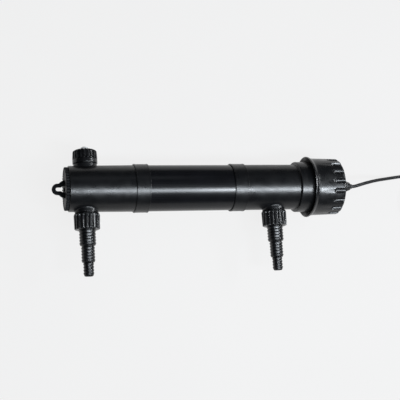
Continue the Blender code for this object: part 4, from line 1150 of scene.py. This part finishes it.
def make_gland():
    """A six-sided body, a rubber grommet and an eight-sided nut that tapers to the cord."""
    base = COVER_END + GAP
    inner = CORD_R + GAP

    def sided(count, limit):
        def shape(angle, radius, station):
            if radius < limit:
                return radius
            turn = 2 * math.pi / count
            off = abs((angle + turn / 2) % turn - turn / 2)
            return min(radius, radius * 1.02 * math.cos(turn / 2) / math.cos(off))

        return shape

    outline = rounded([
        (inner, base - 12), (4.2, base - 12), (4.2, base), (12, base, 0.4),
        (12, base + 4.2, 0.8), (8.5, base + 4.4), (8.5, base + 19),
        (6.6, base + 19), (6.6, base + 13), (inner, base + 13)])
    body = lathe("gland_hexagon", refined(outline, 1), 96, AXIS, sided(6, 10))
    wear(body, "head", "glossy_black", "gland_body")
    outline = rounded([
        (inner, base + 13.3), (6.2, base + 13.3), (6.2, base + 22.5, 1),
        (4.8, base + 25, 1), (4.6, GLAND_TIP, 0.7), (inner, GLAND_TIP)])
    wear(lathe("grommet_soft", outline, 64, AXIS), "cord_seal", "rubber", "gland_grommet")
    outline = rounded([
        (9.6, base + 4.8), (11.9, base + 4.8, 0.5), (11.7, base + 17.5, 1.2),
        (8.8, base + 25.0, 1.0), (7.8, base + 27.5, 0.6), (5.7, base + 27.5),
        (5.7, base + 26.0), (7.2, base + 23.0), (9.6, base + 21.5)])

    def facets(angle, radius, station):
        inside = radius < 9.7 and station < base + 22.1 or radius < 7.3
        return radius if inside else sided(8, 0.0)(angle, radius, station)

    nut = lathe("gland_nut_faceted", refined(outline, 1.2), 96, AXIS, facets)
    wear(nut, "gland_cap", "glossy_black", "gland_nut")


# ---------------------------------------------------------------- assembly


def middle(node):
    low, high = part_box(node)
    return (Vector(low) + Vector(high)) / 2


def dress_cad_nodes():
    """Materials for the CAD nodes that stay as they are."""
    finishes = {
        "rubber": ("left_union_seal", "right_union_seal", "sight_seal", "head_seal", "sleeve_seal"),
        "moulded_black": ("sleeve_support", "ballast"),
        "lamp_white": ("lamp_base", "lamp_holder"),
    }
    for slot, nodes in finishes.items():
        for node in nodes:
            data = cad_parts[node].data
            data.materials.clear()
            data.materials.append(LOOKS[slot])


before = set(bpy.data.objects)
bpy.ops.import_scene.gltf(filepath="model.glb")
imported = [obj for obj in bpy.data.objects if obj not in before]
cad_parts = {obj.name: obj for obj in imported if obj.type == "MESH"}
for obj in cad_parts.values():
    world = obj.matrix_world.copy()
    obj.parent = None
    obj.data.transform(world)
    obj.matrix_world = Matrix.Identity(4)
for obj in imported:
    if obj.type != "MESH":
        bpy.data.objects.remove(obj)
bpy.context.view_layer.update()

tube_middle = middle("centre_tube")
TUBE = Matrix.Translation((middle("left_union_nut").x - LEFT_PORT_X * MM, tube_middle.y, tube_middle.z))
AXIS = TUBE @ TO_PLUS_X
LEFT_PORT = TUBE @ shift(LEFT_PORT_X, 0, 0) @ TO_MINUS_Y
SIGHT_PORT = TUBE @ shift(LEFT_PORT_X, 0, 0) @ TO_PLUS_Y
MIDDLE = TUBE.translation
RIGHT_PORT = TUBE @ Matrix.Translation((middle("right_union_nut").x - MIDDLE.x, 0, 0)) @ TO_MINUS_Y

make_camera()
make_looks()

flex = make_cord()
on_cord = [*make_plug(), make_tie()]

make_left_housing()
make_right_housing()
make_tube()
make_band("left_band", LEFT_SEAM, "left_bracket")
make_band("right_band", RIGHT_SEAM, "right_bracket")
make_end_cap()
for side, port in (("left", LEFT_PORT), ("right", RIGHT_PORT)):
    make_tail(f"{side}_tail_barbed", port, f"{side}_tail", f"{side}_hose_tail")
    make_union_nut(f"{side}_nut_ribbed", port, f"{side}_nut", f"{side}_union_nut")
make_sight_cap()
make_lock_ring()
make_head()
make_inner_head()
make_sleeve()
make_lamp()
make_gland()
dress_cad_nodes()
make_stage()
